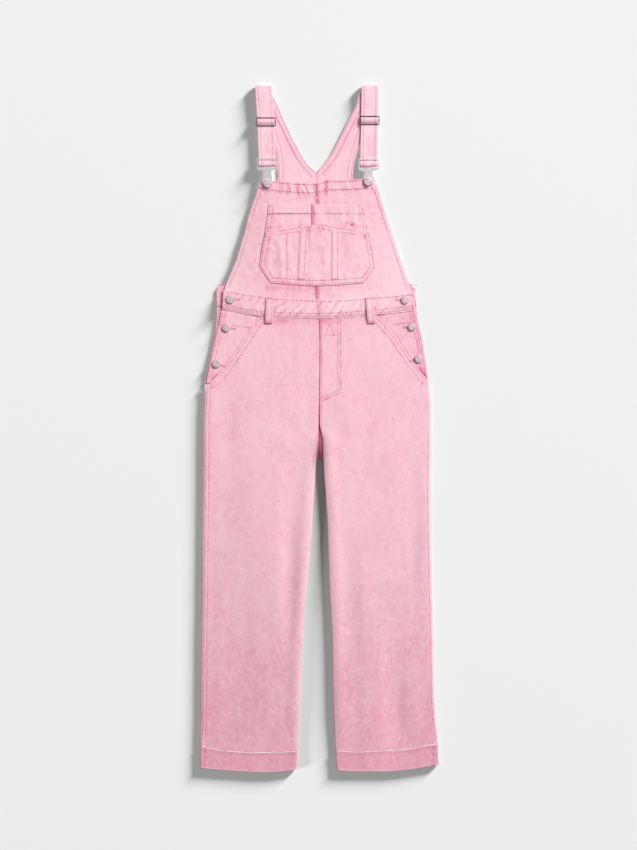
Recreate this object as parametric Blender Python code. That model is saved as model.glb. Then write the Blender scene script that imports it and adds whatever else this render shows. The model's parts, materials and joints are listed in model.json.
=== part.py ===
import math

import bpy
import numpy as np

# Denim overalls laid flat on their back, front up. The floor is z = 0, +Y runs to the straps and
# +X to the wearer's left. All sizes are in millimetres and turned to metres when a mesh is made.
MM = 0.001

# Cloth thicknesses.
CLOTH = 1.4
BACK_CLOTH = 1.5
BAND_CLOTH = 1.8
HEM_CLOTH = 1.9
STRAP_CLOTH = 2.0

# Gap between pieces that meet at a seam or lie on each other.
SEAM = 0.3
LAY = 0.45

# Heights of the front layer above the floor.
LEG_RISE = 6.3
HIP_RISE = 6.0
BIB_RISE = 4.1

# Roundness of the leg edges.
EDGE_ROUND = 8.0
INSEAM_ROUND = 11.0

# Hardware.
STRAP_WIDTH = 36.0
BUTTON_RADIUS = 8.7

# Outlines, one row per height: y, x.
RIGHT_OUTSEAM = (
    (306, -211.5), (291, -211.3), (260, -213.8), (228, -215.5), (197, -218.6), (165, -226.0),
    (134, -232.3), (102, -237.9), (71, -239.6), (39, -241.1), (-24, -242.3), (-150, -242.8),
    (-244, -244.2), (-360, -244.9), (-465, -247.0), (-570, -247.4), (-622, -248.4),
    (-675, -249.5), (-725, -249.5),
)
LEFT_OUTSEAM = (
    (306, 206.8), (285, 206.6), (260, 203.5), (228, 208.7), (197, 216.5), (165, 221.8),
    (134, 227.2), (102, 230.8), (71, 235.4), (39, 236.0), (-24, 236.0), (-150, 235.0),
    (-244, 236.0), (-339, 238.1), (-402, 240.2), (-496, 240.9), (-559, 242.3), (-591, 244.4),
    (-622, 246.5), (-654, 249.9), (-706, 251.8), (-725, 252.2),
)
RIGHT_INSEAM = (
    (240, 1.6), (176, 2.6), (60, 1.6), (8, 0.7), (-9, 0.4), (-24, -0.4), (-45, -2.6), (-61, -4.0),
    (-87, -6.3), (-129, -8.6), (-171, -12.0), (-213, -13.9), (-244, -17.0), (-276, -19.7),
    (-307, -22.9), (-339, -26.9), (-370, -29.6), (-402, -31.7), (-465, -34.9), (-528, -38.0),
    (-591, -40.7), (-654, -43.3), (-725, -47.5),
)
LEFT_INSEAM = (
    (240, 1.9), (176, 2.9), (60, 1.9), (8, 2.2), (-9, 5.6), (-24, 8.0), (-45, 8.3), (-61, 9.0),
    (-87, 10.5), (-129, 13.9), (-192, 18.5), (-244, 19.9), (-276, 21.0), (-339, 22.7),
    (-370, 24.6), (-433, 28.1), (-528, 29.6), (-591, 31.3), (-654, 33.8), (-685, 35.3),
    (-725, 38.5),
)
# The slanted pocket openings, which are the outer edges of the front legs above the hips.
RIGHT_POCKET = ((250, -114), (235, -124.1), (177, -163.0), (130.5, -194.5), (94, -229.0))
LEFT_POCKET = ((250, 112), (238, 122.6), (193, 161.9), (153, 187.7), (110, 222.0), (103, 227.5))
# Outer edges of the pocket facings.
RIGHT_FACING = ((262, -201.0), (250, -203.7), (218, -210.3), (181, -219.2), (132, -229.6), (106, -234.2))
LEFT_FACING = ((262, 198.8), (247, 201.4), (218, 207.2), (186, 214.6), (149, 221.8), (119, 226.0), (106, 227.5))
# Front waistband edges: x, y.
WAIST_TOP = (
    (-199, 291), (-155, 284), (-110, 276.7), (-71, 273.5), (-5, 270.4), (53, 271.2), (108, 275.6),
    (160, 280.2), (203, 284.7),
)
WAIST_BOTTOM = (
    (-203, 251.5), (-157, 241), (-119, 235.7), (-71, 233.0), (-1, 230.9), (53, 233.4), (112, 237.8),
    (160, 242.7), (201, 247.3),
)
# Sides and top of the bib.
RIGHT_BIB = (
    (530, -118.5), (519, -122.0), (497, -129.8), (480, -136.1), (449, -146.6), (417, -153.9),
    (386, -163.4), (354, -172.6), (323, -186.1), (296, -197.4), (262, -199.5),
)
LEFT_BIB = (
    (530, 116.0), (522, 117.4), (497, 126.2), (480, 131.5), (449, 141.5), (417, 152.0),
    (386, 162.5), (354, 173.0), (323, 183.5), (287, 196.1), (262, 198.5),
)
BIB_TOP = (
    (-122, 521.5), (-100, 521), (-52, 516.6), (-5, 515.2), (18, 522), (58, 522.7), (93, 524.6),
    (118, 524),
)
BIB_CENTRE = ((530, -5.2), (516, -5.0), (470, -2.7), (300, -4.6), (262, -3.0), (228, 1.7))
# Back bib: y, inner neckline x, outer x.
RIGHT_BACK_BIB = (
    (706, -99.0, -132.5), (694, -92.5, -128.5), (680, -86.0, -123.0), (650, -72.7, -111.0),
    (615, -56.5, -98.5), (577, -37.0, -88.0), (556, -23.0, -85.6), (543, -8.0, -85.2),
    (538, -4.3, -85.1), (520, -3.6, -86.0), (480, -3.0, -92.0), (430, -3.0, -108.0),
    (380, -3.0, -135.0), (330, -3.0, -168.0), (306.6, -3.0, -186.0),
)
LEFT_BACK_BIB = (
    (706, 86.0, 124.0), (694, 82.8, 116.2), (680, 79.4, 111.5), (650, 63.5, 102.3),
    (615, 46.0, 91.0), (577, 26.5, 79.2), (556, 11.0, 74.3), (543, -2.0, 72.4),
    (538, -3.7, 72.0), (520, -3.3, 71.6), (480, -2.7, 80.0), (430, -2.7, 98.0),
    (380, -2.7, 126.0), (330, -2.7, 160.0), (306.6, -2.7, 180.0),
)
BACK_WAIST_BOTTOM = 256.0
BACK_WAIST_TOP = 306.3
# Bib pocket edges: y, right side x, left side x.
POCKET_SIDES = (
    (472, -105.2, 94.0), (449, -107.7, 98.7), (411, -113.2, 107.1), (375, -119.7, 113.8),
    (342, -124.3, 119.0), (338, -122.5, 119.7), (306.5, -101.0, 96.0),
)
POCKET_BOTTOM = ((-101, 306.1), (-39, 300.8), (-3, 299.6), (30, 300.6), (91, 305.3), (97, 306.1))
# Curved opening of the pocket patch: x, y.
PATCH_TOP = (
    (-114, 412.1), (-81, 418.4), (-50, 423.7), (-16, 426.8), (-8, 432.1), (13, 430.0), (28, 425.8),
    (55, 422.0), (76, 419.0), (107, 416.0),
)
POCKET_LAP_X = -14.7
# Hem bands: x, y at the top ridge and y at the bottom edge.
RIGHT_HEM = (
    (-250, -665, -712.0), (-243, -667, -713.5), (-211, -675.5, -716.5), (-178, -678.5, -718.7),
    (-150, -680.1, -720.5), (-123, -680.1, -722.3), (-75, -679.4, -720.8), (-45, -677.5, -714.5),
)
LEFT_HEM = (
    (36, -675.5, -715.0), (42, -677.0, -719.4), (72, -680.0, -720.0), (125, -676.7, -720.4),
    (169, -675.5, -718.7), (216, -668.5, -712.4), (238, -661.9, -707.5), (252, -661.0, -705.3),
)

# Folds of the front layer. Each is a soft trough or ridge along a line, thinning to its ends:
# x start, y start, x end, y end, half width, height.
FOLDS = (
    # Right leg: long soft troughs and a ridge along the inner edge.
    (-226, -80, -222, -420, 9, -0.9),
    (-190, 60, -196, -300, 17, -0.7),
    (-150, 180, -140, -240, 20, 0.6),
    (-62, -190, -64, -470, 13, -1.3),
    (-88, -120, -92, -560, 16, 0.5),
    (-150, -260, -158, -600, 18, -0.9),
    (-205, -330, -208, -640, 14, 0.6),
    (-110, -380, -118, -640, 17, 0.6),
    (-60, -500, -66, -655, 12, -0.8),
    (-178, -480, -190, -650, 12, -0.7),
    (-120, 20, -40, -60, 16, 0.7),
    (-26, 120, -20, -30, 10, -0.6),
    # Left leg.
    (60, 150, 52, -180, 18, 0.6),
    (100, 120, 98, -160, 16, -0.7),
    (160, 40, 152, -330, 20, 0.7),
    (203, -90, 203, -430, 11, -1.2),
    (224, -60, 226, -300, 8, 0.4),
    (62, -230, 66, -470, 13, -1.0),
    (96, -300, 104, -600, 16, 0.6),
    (140, -330, 150, -640, 15, -0.8),
    (190, -420, 196, -640, 15, 0.6),
    (78, -540, 84, -655, 11, -0.7),
    (222, -500, 226, -650, 9, -0.6),
    # Creases by the left pocket end and at the knee.
    (226, 70, 168, -10, 9, -0.8),
    (232, 38, 186, -48, 10, 0.6),
    (60, -268, 190, -300, 11, -0.5),
    (90, -330, 200, -310, 11, 0.45),
    # Bib: slack beside the pocket, and puckers at the top corners.
    (-150, 410, -160, 330, 12, 0.5),
    (140, 470, 156, 350, 12, 0.5),
    (-60, 508, -40, 486, 9, -0.35),
    (40, 510, 62, 488, 10, -0.35),
)
# Fold rows of the front legs, and points across them as shares of the width.
LEG_ROWS = (
    246, 228, 200, 172, 146, 122, 104, 92, 78, 50, 20, -4, -22, -42, -70, -110, -155, -200, -245,
    -290, -335, -385, -435, -485, -535, -585, -625, -652, -672,
)
LEG_ACROSS = (0.05, 0.10, 0.17, 0.25, 0.33, 0.41, 0.49, 0.57, 0.65, 0.73, 0.81, 0.88, 0.94)


def look(table, at, column=1):
    """Value of a column of a table at a height or a place across, between its rows."""
    rows = sorted(table)
    return float(np.interp(at, [row[0] for row in rows], [row[column] for row in rows]))


def hem_line(hem, x, column=1):
    """A hem curve without the corners of its table."""
    return sum(look(hem, x + d, column) for d in (-20, -10, 0, 10, 20)) / 5


def ease(low, high, value):
    share = min(1.0, max(0.0, (value - low) / (high - low)))
    return share * share * (3 - 2 * share)


def fold(x, y):
    """Height that all the folds add at one place."""
    total = 0.0
    for x0, y0, x1, y1, half, height in FOLDS:
        length = math.hypot(x1 - x0, y1 - y0)
        along = ((x - x0) * (x1 - x0) + (y - y0) * (y1 - y0)) / length
        aside = ((x - x0) * (y1 - y0) - (y - y0) * (x1 - x0)) / length
        if abs(aside) > 3.2 * half or along < -0.1 * length or along > 1.1 * length:
            continue
        ends = ease(-0.1, 0.3, along / length) * (1 - ease(0.7, 1.1, along / length))
        total += height * ends * math.exp(-((aside / half) ** 2))
    return total


def rise(x, y):
    """Top of the front layer above the floor."""
    level = np.interp(y, (-720, -650, 60, 240, 300, 420, 520), (6.0, 6.4, LEG_RISE, HIP_RISE, HIP_RISE - 0.5, BIB_RISE, BIB_RISE))
    calm = 1 - 0.8 * ease(175, 235, y) * (1 - ease(290, 330, y))
    return float(level) + calm * fold(x, y)


def material(name, colour, roughness, metallic=0.0):
    made = bpy.data.materials.new(name)
    made.use_nodes = True
    shader = made.node_tree.nodes["Principled BSDF"]
    linear = [((c / 255 + 0.055) / 1.055) ** 2.4 for c in colour]
    shader.inputs["Base Color"].default_value = (*linear, 1.0)
    shader.inputs["Roughness"].default_value = roughness
    shader.inputs["Metallic"].default_value = metallic
    return made


def solid(name, points, faces, colour, roughness=0.9, metallic=0.0, smooth=False):
    """One closed body from points in millimetres, faces turned outward."""
    points = np.asarray(points, float)
    triangles = []
    for face in faces:
        for k in range(1, len(face) - 1):
            triangles.append((face[0], face[k], face[k + 1]))
    corners = points[np.array(triangles)]
    volume = np.einsum("ij,ij->i", corners[:, 0], np.cross(corners[:, 1], corners[:, 2])).sum()
    if volume < 0:
        faces = [tuple(reversed(face)) for face in faces]
    mesh = bpy.data.meshes.new(name)
    mesh.from_pydata([tuple(p * MM) for p in points], [], faces)
    mesh.update()
    if smooth:
        mesh.shade_smooth()
    made = bpy.data.objects.new(name, mesh)
    bpy.context.scene.collection.objects.link(made)
    mesh.materials.append(material(name + "_mat", colour, roughness, metallic))
    return made


def loft(name, rings, colour, capped=True, closed=False, **settings):
    """Joins rings of equal length in order. Ends are capped, or the last ring meets the first."""
    count = len(rings[0])
    points = [p for ring in rings for p in ring]
    faces = []
    steps = len(rings) if closed else len(rings) - 1
    for i in range(steps):
        a = i * count
        b = ((i + 1) % len(rings)) * count
        for j in range(count):
            k = (j + 1) % count
            faces.append((a + j, a + k, b + k, b + j))
    if capped and not closed:
        faces.append(tuple(reversed(range(count))))
        faces.append(tuple(range((len(rings) - 1) * count, len(rings) * count)))
    return solid(name, points, faces, colour, **settings)


def cloth(name, grid, thick, colour, straight=False):
    """A wall whose outer face is the grid, rows by columns. It is as thick as the cloth all over."""
    outer = np.asarray(grid, float)
    if straight:
        normal = np.zeros_like(outer)
        normal[..., 2] = 1
    else:
        normal = np.cross(np.gradient(outer, axis=1), np.gradient(outer, axis=0))
        normal /= np.linalg.norm(normal, axis=2, keepdims=True)
        if normal[..., 2].mean() < 0:
            normal = -normal
    inner = outer - normal * np.asarray(thick).reshape(np.shape(thick) + (1,) * (3 - np.ndim(thick)))
    rows, columns = outer.shape[:2]
    points = np.concatenate([outer.reshape(-1, 3), inner.reshape(-1, 3)])
    half = rows * columns
    faces = []
    for i in range(rows - 1):
        for j in range(columns - 1):
            a = i * columns + j
            quad = (a, a + 1, a + columns + 1, a + columns)
            faces.append(quad)
            faces.append(tuple(half + k for k in reversed(quad)))
    rim = [j for j in range(columns)]
    rim += [i * columns + columns - 1 for i in range(1, rows)]
    rim += [(rows - 1) * columns + j for j in range(columns - 2, -1, -1)]
    rim += [i * columns for i in range(rows - 2, 0, -1)]
    for k, a in enumerate(rim):
        b = rim[(k + 1) % len(rim)]
        faces.append((b, a, half + a, half + b))
    return solid(name, points, faces, colour)


def sheet(name, heights, across, left, right, top, thick, colour, bend=None):
    """A flat-laid piece. left and right give x at a height, bend gives the true y of a point."""
    grid = []
    for y in heights:
        row = []
        x0 = left(y)
        x1 = right(y)
        for share in across:
            x = x0 + (x1 - x0) * share
            real = bend(x, y) if bend else y
            row.append((x, real, top(x, real)))
        grid.append(row)
    return cloth(name, grid, thick, colour, straight=True)


def spread(count):
    return [k / (count - 1) for k in range(count)]


DENIM = (243, 193, 205)
DENIM_LOW = (228, 176, 189)
DENIM_PALE = (248, 204, 215)
STEEL = (206, 204, 204)


def front_leg(name, outer, inner, hem, pocket, side):
    """Front leg: flat across, rounded down to the back at both long edges below the pocket."""
    ends = sorted(row[0] for row in pocket)[0]

    def outer_edge(y):
        if y > ends:
            return look(pocket, y)
        return look(outer, y)

    grid = []
    last = LEG_ROWS[-1]
    for y in LEG_ROWS:
        x_out = outer_edge(y)
        x_in = look(inner, y)
        closed_side = 1 - ease(ends - 26, ends - 2, y)
        open_seam = 1 - ease(-24, 6, y)
        row = []
        width = abs(x_in - x_out)
        toward = 1 if x_in > x_out else -1
        steps = [(0.0, "edge"), (0.0, "wall"), (0.8, ""), (2.4, ""), (5.0, "")]
        places = [(x_out + toward * d, kind, d) for d, kind in steps]
        places += [(x_out + toward * width * s, "", width * s) for s in LEG_ACROSS]
        steps = [(6.2, ""), (3.0, ""), (1.0, ""), (0.0, "wall"), (0.0, "edge")]
        places += [(x_in - toward * d, kind, width - d) for d, kind in steps]
        for x, kind, d in places:
            bottom = BACK_CLOTH + SEAM
            level = rise(x, y)
            from_in = width - d
            low_out = closed_side * (level - bottom - 1.2)
            low_in = open_seam * (level - bottom - 1.2) + (1 - open_seam) * 0.5
            drop_out = 1 - math.sqrt(max(0.0, 1 - max(0.0, 1 - d / EDGE_ROUND) ** 2))
            drop_in = 1 - math.sqrt(max(0.0, 1 - max(0.0, 1 - from_in / INSEAM_ROUND) ** 2))
            z = level - low_out * drop_out - low_in * drop_in
            shift = 0.0
            if kind == "edge":
                free = closed_side if d < 1 else open_seam
                z = z - 0.05 - free * (z - bottom - 0.05)
            real = y
            if y < -590:
                end = hem_line(hem, x) + SEAM + 0.15
                real = y + (end - last) * (1 - ease(last, -590, y))
            row.append((x + shift, real, z))
        grid.append(row)
    return cloth(name, grid, CLOTH, DENIM if side else DENIM)


def back_leg(name, outer, inner, hem):
    heights = (BACK_WAIST_BOTTOM - SEAM, 228, 197, 134, 71, -24, -62, -150, -244, -339, -465, -591, -640, -672)
    centre = 0.0
    sign = 1 if look(outer, 0) < 0 else -1

    def outer_x(y):
        return look(outer, y) + sign * 0.4

    def inner_x(y):
        seam = 1.4 - sign * 0.15
        if y > -62:
            return seam
        blend = ease(-150, -62, y)
        return (look(inner, y) - sign * 0.4) * (1 - blend) + seam * blend

    def bend(x, y):
        if y > -590:
            return y
        return y + (hem_line(hem, x) + SEAM + 0.4 + 672) * (1 - ease(-672, -590, y))

    across = (0.0, 0.02, 0.25, 0.5, 0.75, 0.98, 1.0)
    return sheet(name, heights, across, outer_x, inner_x, lambda x, y: BACK_CLOTH, BACK_CLOTH, DENIM_LOW, bend)


def hem_band(name, outer, inner, hem):
    """A tube that lies flat: the loop is flat below and a little raised above, rounded at the sides."""
    outer_rings = []
    inner_rings = []
    for share, lift in ((0.0, -0.5), (0.04, 0.9), (0.13, 0.4), (0.5, 0.0), (0.93, 0.4), (1.0, 0.0)):
        y_mid = -678 - 40 * share
        x0 = look(outer, y_mid)
        x1 = look(inner, y_mid)
        if x0 > x1:
            x0, x1 = x1, x0
        loop = []
        for k in range(9):
            x = x0 + 4 + (x1 - x0 - 8) * k / 8
            loop.append((x, 0.0))
        level = rise((x0 + x1) / 2, -675) + lift
        for angle in (-50, -10, 20, 55):
            a = math.radians(angle)
            loop.append((x1 - 4 + 4 * math.cos(a), level / 2 + (level / 2) * math.sin(a)))
        for k in range(15):
            x = x1 - 4 - (x1 - x0 - 8) * k / 14
            loop.append((x, rise(x, -675) + lift))
        for angle in (125, 160, 190, 230):
            a = math.radians(angle)
            loop.append((x0 + 4 + 4 * math.cos(a), level / 2 + (level / 2) * math.sin(a)))
        loop = np.array(loop)
        along = np.roll(loop, -1, 0) - np.roll(loop, 1, 0)
        outward = np.stack([along[:, 1], -along[:, 0]], 1)
        outward /= np.linalg.norm(outward, axis=1, keepdims=True)
        within = loop - outward * HEM_CLOTH

        def placed(flat):
            ring = []
            for (x, z), (own, _) in zip(flat, loop):
                top = hem_line(hem, own)
                bottom = hem_line(hem, own, 2)
                ring.append((x, top + (bottom - top) * share, z))
            return ring

        outer_rings.append(placed(loop))
        inner_rings.append(placed(within))
    return loft(name, outer_rings + inner_rings[::-1], DENIM_LOW, closed=True)


def facing(name, edge, pocket, side):
    """Pocket facing: it lies under the slanted opening and reaches out to the side placket."""
    tip = sorted(row[0] for row in pocket)[0] + 17
    heights = [262, 250, 236, 218, 200, 181, 163, 146, 132, tip]
    sign = 1 if side == "right" else -1

    def inner_x(y):
        return look(pocket, min(y, 236)) + sign * (5 + 9 * ease(tip, tip + 40, y))

    def top(x, y):
        under = look(pocket, min(y, 250))
        beyond = (under - x) * sign
        return rise(x, y) - CLOTH - LAY - 0.35 * ease(8, 40, beyond)

    return sheet(name, heights, spread(7), lambda y: look(edge, y), inner_x, top, CLOTH, DENIM)


def waist_height(x, y):
    sag = 0.9 * ease(128, 170, abs(x)) * (1 - ease(246, 262, y))
    return HIP_RISE + 0.1 + LAY + BAND_CLOTH - sag


def front_waistband(name, x0, x1):
    columns = [x0 + (x1 - x0) * k / 14 for k in range(15)]
    grid = []
    for share, step in ((0.0, -0.25), (0.07, 0.0), (0.3, 0.0), (0.55, 0.0), (0.8, 0.0), (0.95, 0.0), (1.0, -0.25)):
        row = []
        for x in columns:
            top = look(WAIST_TOP, x)
            bottom = look(WAIST_BOTTOM, x)
            y = top + (bottom - top) * share
            slant = ease(180, 200, abs(x)) * (share - 0.3) * (-2.6 if x < 0 else -1.2)
            row.append((x + slant, y, waist_height(x, y) + step))
        grid.append(row)
    return cloth(name, grid, BAND_CLOTH, DENIM_PALE, straight=True)


def front_bib(name, side):
    """Half of the bib. The turned top hem and side hem are thicker than the single cloth."""
    heights = (522, 510, 499, 497, 484, 462, 436, 408, 380, 354, 330, 308, 290, 276, 266)
    sign = 1 if side == "right" else -1
    across = (0.0, 0.055, 0.075, 0.16, 0.26, 0.38, 0.5, 0.62, 0.74, 0.86, 0.95, 1.0)

    def edge(y):
        return look(RIGHT_BIB if side == "right" else LEFT_BIB, y)

    def seam(y):
        return look(BIB_CENTRE, y) - sign * SEAM / 2

    grid = []
    for y in heights:
        row = []
        for k, share in enumerate(across):
            x = edge(y) + (seam(y) - edge(y)) * share
            real = y
            if y > 484:
                real = y + (look(BIB_TOP, x) - 522) * ease(484, 522, y)
            z = rise(x, real)
            if y > 498:
                z += 0.5
            elif k < 2 and y > 285:
                z += 0.4
            if k == len(across) - 1:
                z -= 0.5
            if k == 0 or y == 522:
                z -= 0.3
            row.append((x, real, z))
        grid.append(row)
    return cloth(name, grid, CLOTH, DENIM_PALE, straight=True)


def back_bib(name, table, side):
    sign = 1 if side == "right" else -1
    grid = []
    for y, inner, outer in table:
        row = []
        for share in (0.0, 0.12, 0.4, 0.75, 0.92, 1.0):
            x = inner - sign * 0.15 + (outer - inner) * share
            thick = BACK_CLOTH + 0.25 if share in (0.0, 0.12) and y > 545 else BACK_CLOTH
            row.append((x, y, thick))
        grid.append(row)
    flat = [[(x, y, z) for x, y, z in row] for row in grid]
    top = np.array(flat)
    thick = top[..., 2:3].copy()
    return cloth(name, top, thick, DENIM_LOW, straight=True)


def back_waistband():
    heights = (BACK_WAIST_TOP, BACK_WAIST_BOTTOM)
    across = [0.0, 0.01, 0.1, 0.3, 0.5, 0.7, 0.9, 0.99, 1.0]
    return sheet(
        "back_waistband", heights, across, lambda y: look(RIGHT_OUTSEAM, y), lambda y: look(LEFT_OUTSEAM, y),
        lambda x, y: BAND_CLOTH, BAND_CLOTH, DENIM_LOW,
    )


def bib_level(x, y):
    return rise(x, y) + 0.05


POCKET_CLOTH = 1.2


def pocket_top(name, x0, x1, lift):
    """One part of the pocket's top band, between two places across."""
    heights = (472, 461, 449, 447, 438, 428, 417, 406)
    columns = 8

    def left(y):
        return look(POCKET_SIDES, y, 1) if x0 is None else x0

    def right(y):
        return look(POCKET_SIDES, y, 2) if x1 is None else x1

    def top(x, y):
        extra = 0.35 if y > 448 else 0.0
        over = lift * (1 - ease(POCKET_LAP_X + 6, POCKET_LAP_X + 30, x))
        return bib_level(x, y) + LAY + POCKET_CLOTH + extra + over

    return sheet(name, heights, spread(columns), left, right, top, POCKET_CLOTH, DENIM)


def patch_height(x, y):
    """Top of the pocket patch: on the top band at its opening, then on the bib, with a little slack."""
    over_band = ease(396, 406, y) * (POCKET_CLOTH + LAY + 0.15)
    lap = ease(396, 406, y) * 1.8 * (1 - ease(0, 22, x)) * ease(-23, -16, x)
    slack = 0.8 * math.exp(-((x - 10) / 22) ** 2) * math.exp(-((y - 360) / 40) ** 2)
    slack += 0.9 * math.exp(-((x + 80) / 16) ** 2) * math.exp(-((y - 370) / 42) ** 2)
    slack += 0.9 * math.exp(-((x - 80) / 18) ** 2) * math.exp(-((y - 365) / 40) ** 2)
    return bib_level(x, y) + LAY + POCKET_CLOTH + over_band + lap + slack


def pocket_patch():
    heights = (420, 412, 406, 401, 396, 384, 364, 342, 328, 316, 306.5)
    across = (0.0, 0.05, 0.1, 0.16, 0.22, 0.28, 0.34, 0.40, 0.418, 0.445, 0.49, 0.55, 0.61, 0.67, 0.73,
              0.79, 0.85, 0.9, 0.95, 1.0)

    def bend(x, y):
        if y > 386:
            return y + (look(PATCH_TOP, x) - 420) * ease(386, 420, y)
        if y < 328:
            return y + (look(POCKET_BOTTOM, x) - 306.5) * (1 - ease(306.5, 328, y))
        return y

    return sheet(
        "pocket_patch", heights, across, lambda y: look(POCKET_SIDES, y, 1), lambda y: look(POCKET_SIDES, y, 2),
        patch_height, POCKET_CLOTH, DENIM, bend,
    )


def pocket_strip(name, top_x, bottom_x, width):
    heights = (408, 402, 396, 386, 372, 356, 342, 328, 314)

    def middle(y):
        return top_x + (bottom_x - top_x) * (408 - y) / 94

    return sheet(
        name, heights, (0.0, 0.15, 0.5, 0.85, 1.0), lambda y: middle(y) - width / 2,
        lambda y: middle(y) + width / 2, lambda x, y: patch_height(x, y) + LAY + 1.1, 0.9, DENIM_PALE,
    )


def belt_loop(name, top_x, bottom_x):
    """A folded band sewn at both ends on the waistband, standing a little off it."""
    y_top = 275.5
    y_bottom = 221.5
    grid = []
    for k in range(11):
        share = k / 10
        y = y_top + (y_bottom - y_top) * share
        bow = 2.2 * math.sin(math.pi * min(1.0, max(0.0, (share - 0.08) / 0.84)))
        row = []
        for across in (0.0, 0.12, 0.5, 0.88, 1.0):
            x = top_x + (bottom_x - top_x) * share + (across - 0.5) * 15.5
            base = waist_height(x, max(y, 233.0))
            edge = 0.25 if across in (0.0, 1.0) else 0.0
            row.append((x, y, base + LAY + 2.0 + bow - edge))
        grid.append(row)
    return cloth(name, grid, 2.0, DENIM_PALE, straight=True)


def ribbon(name, path, width, thick, colour):
    """A flat band along a path of (x, y, z, half twist) points, its width along X."""
    points = np.array([p[:3] for p in path], float)
    along = np.gradient(points, axis=0)
    along[:, 0] = 0
    along /= np.linalg.norm(along, axis=1, keepdims=True)
    normal = np.stack([np.zeros(len(along)), -along[:, 2], along[:, 1]], 1)
    rings = []
    half = thick / 2
    for p, n, spec in zip(points, normal, path):
        w = (spec[3] if len(spec) > 3 else width) / 2
        ring = []
        for dx, dn in ((-w, -0.6), (-w, 0.6), (-w + 1.2, 1.0), (w - 1.2, 1.0), (w, 0.6), (w, -0.6), (w - 1.2, -1.0), (-w + 1.2, -1.0)):
            ring.append((p[0] + dx, p[1] + n[1] * dn * half, p[2] + n[2] * dn * half))
        rings.append(ring)
    return loft(name, rings, colour)


# Heights of the middle of the strap: the layer that returns behind, the front layer, and the
# crests where it passes over a bar.
STRAP_BEHIND = 3.3
STRAP_FRONT = 5.7
HOOK_CREST = 10.5
SLIDE_CREST = 9.5
STRAP_FOLD_TOP = 6.6


def strap_path(spec):
    """Middle line of the strap: its end behind, round the hook's middle bar, under the hook's top
    bar, up the front, over the slider's middle bar and over the fold to meet the back bib."""
    x_top, x_slide, x_hook, slide_y, bar_y, back_x, fold_y = spec

    def x_at(y):
        return float(np.interp(y, (bar_y, slide_y, fold_y), (x_hook, x_slide, x_top)))

    path = [(x_at(y), y, STRAP_BEHIND) for y in np.linspace(slide_y - 3, bar_y + 3, 5)]
    middle = (HOOK_CREST + STRAP_BEHIND) / 2
    turn = (HOOK_CREST - STRAP_BEHIND) / 2
    for k in range(7):
        a = math.pi * k / 6
        path.append((x_hook, bar_y - turn * math.sin(a), middle - turn * math.cos(a)))
    for dy, z in ((2.2, 10.3), (4.2, 9.3), (6.2, 7.6), (8.2, 6.1), (10.0, 5.72), (12.5, STRAP_FRONT)):
        path.append((x_hook, bar_y + dy, z))
    for y in np.linspace(bar_y + 26, slide_y - 24, 3):
        path.append((x_at(y), y, STRAP_FRONT))
    for dy, z in ((-10.0, STRAP_FRONT), (-7.5, 5.7), (-5.6, 6.6), (-3.6, 8.4), (-1.6, SLIDE_CREST)):
        path.append((x_slide, slide_y + dy, z))
    for dy, z in ((1.6, SLIDE_CREST), (3.6, 8.4), (5.6, 6.6), (7.5, 5.7), (10.0, STRAP_FRONT)):
        path.append((x_slide, slide_y + dy, z))
    path.append((x_at(slide_y + 24), slide_y + 24, STRAP_FRONT + 0.2))
    path.append((x_at(fold_y - 26), fold_y - 26, STRAP_FRONT + 0.5))
    low = STRAP_CLOTH / 2
    half = (STRAP_FOLD_TOP - low) / 2
    for k in range(7):
        a = math.pi * k / 6
        path.append((x_top, fold_y - half - 1 + half * math.sin(a), low + half + half * math.cos(a)))
    path.append((x_top + (back_x - x_top) * 0.5, 711.0, low))
    path.append((back_x, 706.0 + SEAM, low))
    return path


def plate(name, outline, holes, low, high, colour, roughness=0.28, metallic=1.0):
    """A flat plate with its holes cut through it, from its outline going round once."""
    def prism(label, flat, bottom, top):
        count = len(flat)
        points = [(x, y, bottom) for x, y in flat] + [(x, y, top) for x, y in flat]
        faces = [tuple(reversed(range(count))), tuple(range(count, 2 * count))]
        faces += [(k, (k + 1) % count, count + (k + 1) % count, count + k) for k in range(count)]
        return solid(label, points, faces, colour, roughness, metallic)

    made = prism(name, outline, low, high)
    for number, hole in enumerate(holes):
        cutter = prism(name + "_hole_%d" % number, hole, low - 2, high + 2)
        cutter.hide_render = True
        cutter.display_type = "WIRE"
        cut = made.modifiers.new("hole_%d" % number, "BOOLEAN")
        cut.operation = "DIFFERENCE"
        cut.solver = "EXACT"
        cut.object = cutter
    return made


def box_outline(x, y, w, h, corner=1.5):
    flat = []
    for sx, sy, start in ((1, 1, 0), (-1, 1, 90), (-1, -1, 180), (1, -1, 270)):
        for step in (0, 45, 90):
            a = math.radians(start + step)
            flat.append((x + sx * (w / 2 - corner) + corner * math.cos(a), y + sy * (h / 2 - corner) + corner * math.sin(a)))
    return flat


def circle(x, y, radius, count=16, start=0.0, sweep=360.0):
    span = count if sweep == 360.0 else count - 1
    return [
        (x + radius * math.cos(math.radians(start + sweep * k / span)), y + radius * math.sin(math.radians(start + sweep * k / span)))
        for k in range(count)
    ]


def turned(name, x, y, z, profile, colour, sides=12):
    """A solid of revolution about a vertical line, from (radius, height) pairs, base to crown."""
    points = []
    for radius, height in profile:
        for k in range(sides):
            a = 2 * math.pi * k / sides
            points.append((x + radius * math.cos(a), y + radius * math.sin(a), z + height))
    faces = []
    for i in range(len(profile) - 1):
        for k in range(sides):
            n = (k + 1) % sides
            faces.append((i * sides + k, i * sides + n, (i + 1) * sides + n, (i + 1) * sides + k))
    faces.append(tuple(reversed(range(sides))))
    faces.append(tuple((len(profile) - 1) * sides + k for k in range(sides)))
    return solid(name, points, faces, colour, 0.3, 1.0)


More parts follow.
